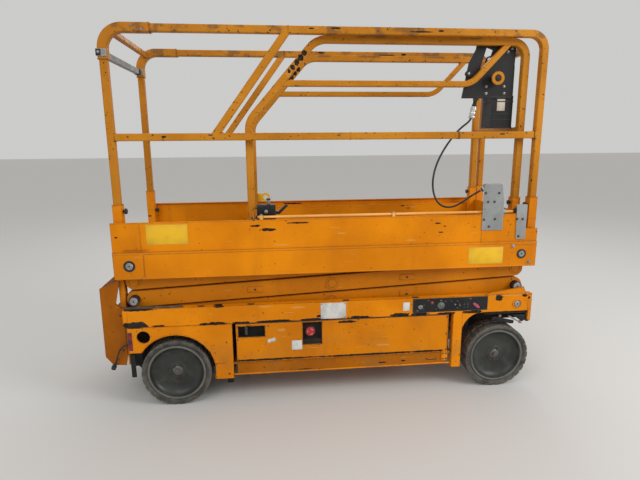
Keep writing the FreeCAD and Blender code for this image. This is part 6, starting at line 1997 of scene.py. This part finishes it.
@dataclass
class Extension:
    """Tread sheet, latch, collars and knobs of the sliding extension."""

    rail_y: float = 298.0
    rail: float = 38.0
    rear_post: float = -393.0
    front_post: float = 1115.0
    top: float = 1966.0
    second: float = 1747.0
    gate_middle: float = 1500.0

    def make_deck(self) -> None:
        """Tread sheet and its screws."""
        sheet = Shape("extension_tread", [DECK_TREAD])
        sheet.box((-424.0, 1086.0), (-262.0, 262.0), (898.6, 900.6), 0.5)
        sheet.box((-356.0, 1078.0), (-312.0, -264.0), (898.6, 900.6), 0.5)
        sheet.box((-356.0, 1078.0), (264.0, 312.0), (898.6, 900.6), 0.5)
        sheet.ride("extension", "deck_plate")
        screws = Studs("deck_screws", dome_screw("deck_screw", STEEL), STEEL)
        for x in (-400.0, -30.0, 340.0, 710.0, 1065.0):
            for y in (-235.0, 0.0, 235.0):
                screws.at((x, y, 900.4), (0, 0, 1), 0.8)
        screws.ride("extension", "grey_steel")

    def make_rails(self) -> None:
        """Weld collars of the sliding rails, gate bars and sockets."""
        shape = Shape("sliding_rail_welds", [PAINT, PAINT_SIDE])
        half = self.rail / 2
        weld = Platform().collar
        for side in Side:
            y = side.y(self.rail_y)
            weld(shape, (self.front_post, y, 1124.0), Axis.Z, 23.3, 2.0, 1.4, 1)
            weld(shape, (self.rear_post, y, 1028.0), Axis.Z, 23.3, 2.0, 1.4, 1)
            weld(shape, (-218.0, y, self.second), Axis.X, 16.0, 4.0, 1.5)
            shape.box((990, 1030), side.span(self.rail_y - 12, self.rail_y + 12), (self.top - 23, self.top - 18), 1.6)
            for z in (1926.0, self.gate_middle):
                weld(shape, (self.front_post, side.y(self.rail_y - half - 3), z), Axis.Y, half, 3.0)
            shape.box((self.rear_post + 24, self.front_post - 24), side.span(316.0, 322.4), (1007, 1012.5), 1.2, 1)
            shape.bead((self.rear_post + 26, side.y(315.5), 900.0), Axis.X, 1450.0, 2.2, 1)
        shape.box((1136.5, 1141.5), (-318, 318), (1036, 1042), 1.6, 1)
        shape.ride("extension", "paint")

    def make_latch(self) -> None:
        """Foot pedal grip, spring and pins of the latch, with knobs on the front posts."""
        shape = Shape("latch_fittings", [BLACK_STEEL, STEEL, DARK_INSIDE])
        out = -(self.rail_y + 23.3)
        shape.box((-360, -268), (out - 3.0, out + 2), (1030, 1108), 1.6)
        shape.rod((-314, out - 3, 1076), (-314, out - 9, 1076), 11.0, 6, 1.2, 1)
        shape.rod((-340, out - 3, 1046), (-340, out - 7.5, 1046), 7.0, 6, 0.8, 1)
        shape.rod((-288, out - 3, 1046), (-288, out - 7.5, 1046), 7.0, 6, 0.8, 1)
        for step in range(5):
            share = step / 4
            x, z = -240 + 42 * share, 1063 + 43 * share
            shape.rod((x, out + 3, z), (x, out + 37, z), 2.6, 10, 0.4, 2)
        coil = []
        for step in range(90):
            turn = step * math.radians(36)
            coil.append((-300.0 + math.cos(turn) * 9.0, out + 20 + math.sin(turn) * 9.0, 1112.0 + step * 0.34))
        shape.tube(coil, 1.5, 6, 1)
        shape.rod((-300, out + 20, 1110), (-300, out + 20, 1148), 4.5, 16, 1.0, 1)
        shape.lathe([(0.0, 34.0), (9.0, 34.0), (12.0, 31.0), (12.0, 27.0), (0.0, 27.0)], (-300, out + 20, 1112),
                    Axis.Z, 1.0, 24, 0)
        shape.box((-385, -352), (out - 5.0, out + 1), (1021, 1026), 1.0, 1)
        shape.box((-385, -380), (out - 5.0, out + 1), (1021, 1054), 1.0, 1)
        shape.ride("extension", "black_steel")
        plate = Shape("latch_plate", [YELLOW_PLATE])
        ring = [(15.0, -2.0), (15.0, 2.0), (30.0, 2.0), (30.0, -2.0)]
        plate.lathe(ring, (-322, 326.0, 1078), Axis.Y, 1.0, 36, 0, True)
        plate.box((-386, -346), (322.6, 327.6), (1051, 1105), 1.2)
        plate.ride("extension", "paint")
        knobs = Studs("extension_knobs", star_knob("extension_knob", BLACK_PANEL), BLACK_PANEL)
        for side in Side:
            knobs.at((self.front_post - 23.3, side.y(self.rail_y), 1096), (-1, 0, 0), 0.85)
        knobs.ride("extension", "black_steel")
        bolts = Studs("extension_bolts", hex_bolt("extension_bolt", DARK_BOLT), DARK_BOLT)
        for side in Side:
            for x, z in ((self.rear_post, 985), (self.front_post, 1060), (self.front_post, 950)):
                bolts.at((x, side.y(self.rail_y + 23.3), z), (0, side.value, 0), 0.85)
        for y in (-240.0, 0.0, 240.0):
            bolts.at((1138.3, y, 985), (1, 0, 0), 0.9)
        bolts.ride("extension", "grey_steel")

    def make(self) -> None:
        """All of the extension's added pieces."""
        self.make_deck()
        self.make_rails()
        self.make_latch()


@dataclass
class ControlStation:
    """Joystick, buttons, lids, bolts and glands of the platform controls."""

    plate: float = -279.0
    face: float = -274.0
    box_x: Pair = (960.0, 1072.0)
    box_z: Pair = (1690.0, 1850.0)
    inner: float = -124.0
    manual_x: Pair = (948.0, 1076.0)
    manual_z: Pair = (1515.0, 1690.0)

    def make_box(self) -> None:
        """Seams, inner lid and hinge of the control box and the manual box."""
        shape = Shape("control_box_lids", [BLACK_PANEL, BLACK_STEEL, BEIGE_PLATE, WHITE_PLATE])
        (west, east), (low, high) = self.box_x, self.box_z
        shape.box((west - 1.5, east + 1.5), (-262, -128), (high - 26, high - 21), 1.2)
        shape.box((west + 6, east - 6), (-256, -140), (high - 0.5, high + 3.0), 1.4, 1)
        shape.box((west + 8, east - 8), (self.inner - 1, self.inner + 2.4), (low + 12, high - 34), 1.2, 1)
        shape.box((west + 20, east - 20), (self.inner + 2.0, self.inner + 3.1), (low + 30, low + 84), 0.3, 3)
        (west, east), (low, high) = self.manual_x, self.manual_z
        shape.box((west - 2.5, east + 2.5), (-275.5, -161), (high - 34, high - 28), 1.2, 1)
        shape.box((west - 2, east + 2), (-275.2, -162), (low - 1, low + 6), 1.6, 1)
        shape.box((west + 50, west + 78), (-164.5, -159), (high - 52, high - 20), 1.4, 1)
        shape.box((984, 1030), (self.face - 0.9, self.face + 0.3), (1609, 1673), 0.3, 2)
        for z in (1560.0, 1590.0):
            shape.box((west + 12, east - 12), (self.face - 1.6, self.face + 0.5), (z, z + 4), 0.6, 0)
        shape.ride("extension", "black_panel")

    def make_stick(self) -> None:
        """Joystick with its boot and trigger, and the hoop that guards it."""
        shape = Shape("joystick", [BLACK_PANEL, KNOB, RED])
        x, y, top = 1016.0, -178.0, self.box_z[1] + 3.0
        shape.lathe([(27.0, -1.0), (27.0, 2.5), (25.0, 4.0), (21.0, 7.5), (22.0, 10.0), (16.5, 13.5), (17.5, 16.0),
                     (11.0, 20.0), (9.5, 24.0), (0.0, 24.0)], (x, y, top), Axis.Z, 1.0, 36)
        shape.rod((x, y, top + 22), (x, y, top + 62), 9.5, 24, 1.0, tip=12.0)
        shape.lathe([(12.0, 60.0), (14.5, 68.0), (15.0, 82.0), (12.5, 92.0), (7.0, 96.0), (0.0, 96.4)], (x, y, top),
                    Axis.Z, 1.0, 28)
        shape.box((x - 5, x + 5), (y + 9, y + 15), (top + 58, top + 84), 2.0, 1)
        shape.rod((x, y, top + 95), (x, y, top + 99), 5.0, 18, 1.0, 2)
        shape.ride("extension", "black_panel")
        hoop = Shape("joystick_guard", [BLACK_STEEL])
        for bar_x in (968.0, 1064.0):
            base = self.box_z[1] - 2.0
            hoop.tube([(bar_x, -250, base), (bar_x, -250, base + 40), (bar_x, -246, base + 54), (bar_x, -234, base + 62),
                       (bar_x, -150, base + 62), (bar_x, -138, base + 54), (bar_x, -134, base + 40),
                       (bar_x, -134, base)], 5.0, 14)
        hoop.tube([(968.0, -234, self.box_z[1] + 60), (1064.0, -234, self.box_z[1] + 60)], 4.6, 14)
        hoop.ride("extension", "black_steel")

    def make_switches(self) -> None:
        """Stop button, toggles, push buttons and lamps on the box's top and inner face."""
        shape = Shape("station_switches", [BLACK_PANEL, STEEL, YELLOW_PLATE, KNOB])
        top = self.box_z[1] + 3.0
        shape.lathe([(17.0, -1.0), (17.0, 3.0), (15.5, 4.4), (11.0, 4.4), (10.0, 9.0), (0.0, 9.0)], (988, -226, top),
                    Axis.Z, 1.0, 32, 2)
        for x, y in ((1022, -232), (1048, -232)):
            shape.rod((x, y, top - 0.5), (x, y, top + 3), 6.2, 6, 0.6, 1)
            shape.rod((x, y, top + 2), (x + 3, y, top + 16), 2.0, 12, 0.4, 1, 3.0)
        for column in range(3):
            for row in range(2):
                x, z = 986 + column * 28, 1792 + row * -24
                shape.lathe([(9.0, -1.0), (9.0, 1.4), (7.4, 2.6), (7.0, 5.0), (5.4, 6.2), (0.0, 6.4)],
                            (x, self.inner + 2.2, z), Axis.Y, 1.0, 24, 3)
        shape.ride("extension", "black_panel")
        red = Shape("station_stop", [RED, LAMP_RED])
        red.lathe([(10.0, 8.0), (19.0, 9.5), (20.5, 12.0), (20.0, 16.0), (16.0, 20.5), (8.0, 22.6), (0.0, 23.0)],
                  (988, -226, top), Axis.Z, 1.0, 36)
        for x in (976, 1056):
            red.lathe([(4.2, -0.5), (4.2, 1.6), (2.6, 3.4), (0.0, 4.0)], (x, -152, top), Axis.Z, 1.0, 16, 1)
        red.ride("extension", "red_plastic")

    def make_bracket(self) -> None:
        """Bolts, ear, clamp knob and cable glands of the bracket plate."""
        bolts = Studs("bracket_bolts", hex_bolt("bracket_bolt", STEEL), STEEL)
        for x, z in ((913, 1701), (1017, 1702), (1014, 1738), (913, 1738), (1024, 1919), (1047, 1938)):
            bolts.at((x, self.plate, z), (0, -1, 0), 0.95)
        bolts.ride("extension", "grey_steel")
        ear = Shape("bracket_ear", [PAINT, BLACK_STEEL, STEEL])
        ear.lathe([(18.0, 0.0), (18.0, 6.0), (19.0, 7.0), (34.6, 7.0), (36.0, 5.6), (36.0, 0.0)],
                  (959, -313.6, 1778), Axis.Y, -1.0, 48, 0, True)
        ear.rod((959, -281, 1778), (959, -318, 1778), 17.6, 28, 1.6, 1)
        ear.rod((959, -316, 1778), (959, -323, 1778), 9.0, 6, 1.2, 1)
        ear.ride("extension", "paint")
        clamp = Shape("bracket_clamp", [BLACK_PANEL, STEEL, BLACK_STEEL])
        clamp.rod((801, -262, 1803), (801, -300, 1803), 6.0, 18, 0.6, 1)
        clamp.lathe([(7.0, 0.0), (15.0, 1.0), (17.5, 3.0), (17.5, 14.0), (15.0, 17.0), (0.0, 17.6)],
                    (801, -279.2, 1803), Axis.Y, -1.0, 9)
        clamp.box((786, 1066), (self.plate - 2.6, self.plate + 0.5), (1975, 1983), 1.0, 2)
        clamp.box((782, 1056), (self.plate - 2.6, self.plate + 0.5), (1677, 1685), 1.0, 2)
        clamp.ride("extension", "black_panel")
        gland = Shape("cable_gland", [BLACK_PANEL, BRIGHT_STEEL])
        start = Vector((851, -262, 1602))
        way = (start - Vector((846, -262, 1572))).normalized()
        for near, far, wide, sides, finish in ((-34.0, -22.0, 19.0, 6, 1), (-22.0, -12.0, 15.0, 24, 1),
                                               (-13.0, -1.0, 18.5, 24, 1), (-1.0, 10.0, 15.0, 24, 1),
                                               (9.0, 21.0, 19.0, 6, 1), (21.0, 30.0, 16.0, 24, 1),
                                               (30.0, 42.0, 13.0, 24, 0)):
            gland.rod(start + way * near, start + way * far, wide, sides, 0.9, finish)
        gland.ride("extension", "black_panel")

    def make(self) -> None:
        """All of the station's pieces."""
        self.make_box()
        self.make_stick()
        self.make_switches()
        self.make_bracket()


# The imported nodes' finishes


DRESS: dict[str, Finish] = {
    "chassis_side_near": PAINT_CHASSIS, "chassis_side_far": PAINT_CHASSIS, "chassis_top": PAINT_CHASSIS,
    "front_gussets": PAINT_CHASSIS, "chassis_tub": PAINT_SILL_SHADED, "rear_housing": DARK_INSIDE, "front_axle": BLACK_STEEL,
    "ladder": PAINT_LADDER_SHADED, "ground_panel": BLACK_PANEL, "knuckle_near": BLACK_STEEL, "knuckle_far": BLACK_STEEL,
    "tie_rod": BLACK_STEEL, "door_near": PAINT_LOW_SHADED, "door_far": PAINT_LOW_SHADED, "tray_near": BLACK_STEEL,
    "tray_far": BLACK_STEEL, "batteries": BLACK_PANEL,
    "power_unit": BLACK_PANEL, "stop_button": RED, "guard_near": PAINT_LOW_SHADED, "guard_far": PAINT_LOW_SHADED,
    "inner_arms_1": PAINT_ARMS_SHADED, "inner_arms_2": PAINT_ARMS_SHADED, "inner_arms_3": PAINT_ARMS_SHADED,
    "outer_arms_1": PAINT_ARMS_SHADED, "outer_arms_2": PAINT_ARMS_SHADED, "outer_arms_3": PAINT_ARMS_SHADED,
    "cross_tubes_1": PAINT_ARMS_SHADED, "cross_tubes_2": PAINT_ARMS_SHADED, "cross_tubes_3": PAINT_ARMS_SHADED,
    "lift_barrel": BLACK_STEEL, "lift_rod": CHROME, "platform_frame": PAINT_SIDE, "platform_deck": DECK_TREAD,
    "toe_boards": PAINT_SIDE, "outer_rail_near": PAINT, "outer_rail_far": PAINT, "rear_rail": PAINT,
    "rear_sleeves": PAINT, "gate_bar": LIGHT_GREY, "rail_guides": LIGHT_GREY, "guide_rod": PALE_ROD,
    "extension_deck": PAINT_SIDE, "slide_rail_near": PAINT, "slide_rail_far": PAINT, "front_gate": PAINT,
    "extension_latch": BLACK_STEEL, "control_bracket": BLACK_STEEL, "control_box": BLACK_PANEL}


def dress(nodes: dict[str, bpy.types.Object]) -> None:
    """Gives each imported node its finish."""
    for name, finish in DRESS.items():
        piece = nodes[name]
        if not piece.material_slots:
            piece.data.materials.append(finish.material())
        for slot in piece.material_slots:
            slot.material = finish.material()
        LOG.info("%s: %s", name, finish.name)


def main() -> None:
    """Builds the lift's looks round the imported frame."""
    logging.basicConfig(level=logging.INFO, format="%(name)s: %(message)s")
    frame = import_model()
    Studio().make()
    Cords().make()
    dress(frame["nodes"])
    wheels = [Wheel(end, side, x) for end, x in (("rear", -835.0), ("front", 1025.0)) for side in Side]
    trays = [TrayDoor(side) for side in Side]
    for assembly in [*wheels, Chassis(), GroundControls(), *trays, Scissor(), Platform(), Extension(),
                     ControlStation()]:
        assembly.make()
        LOG.info("%s done", type(assembly).__name__)


if __name__ == "__main__":
    main()
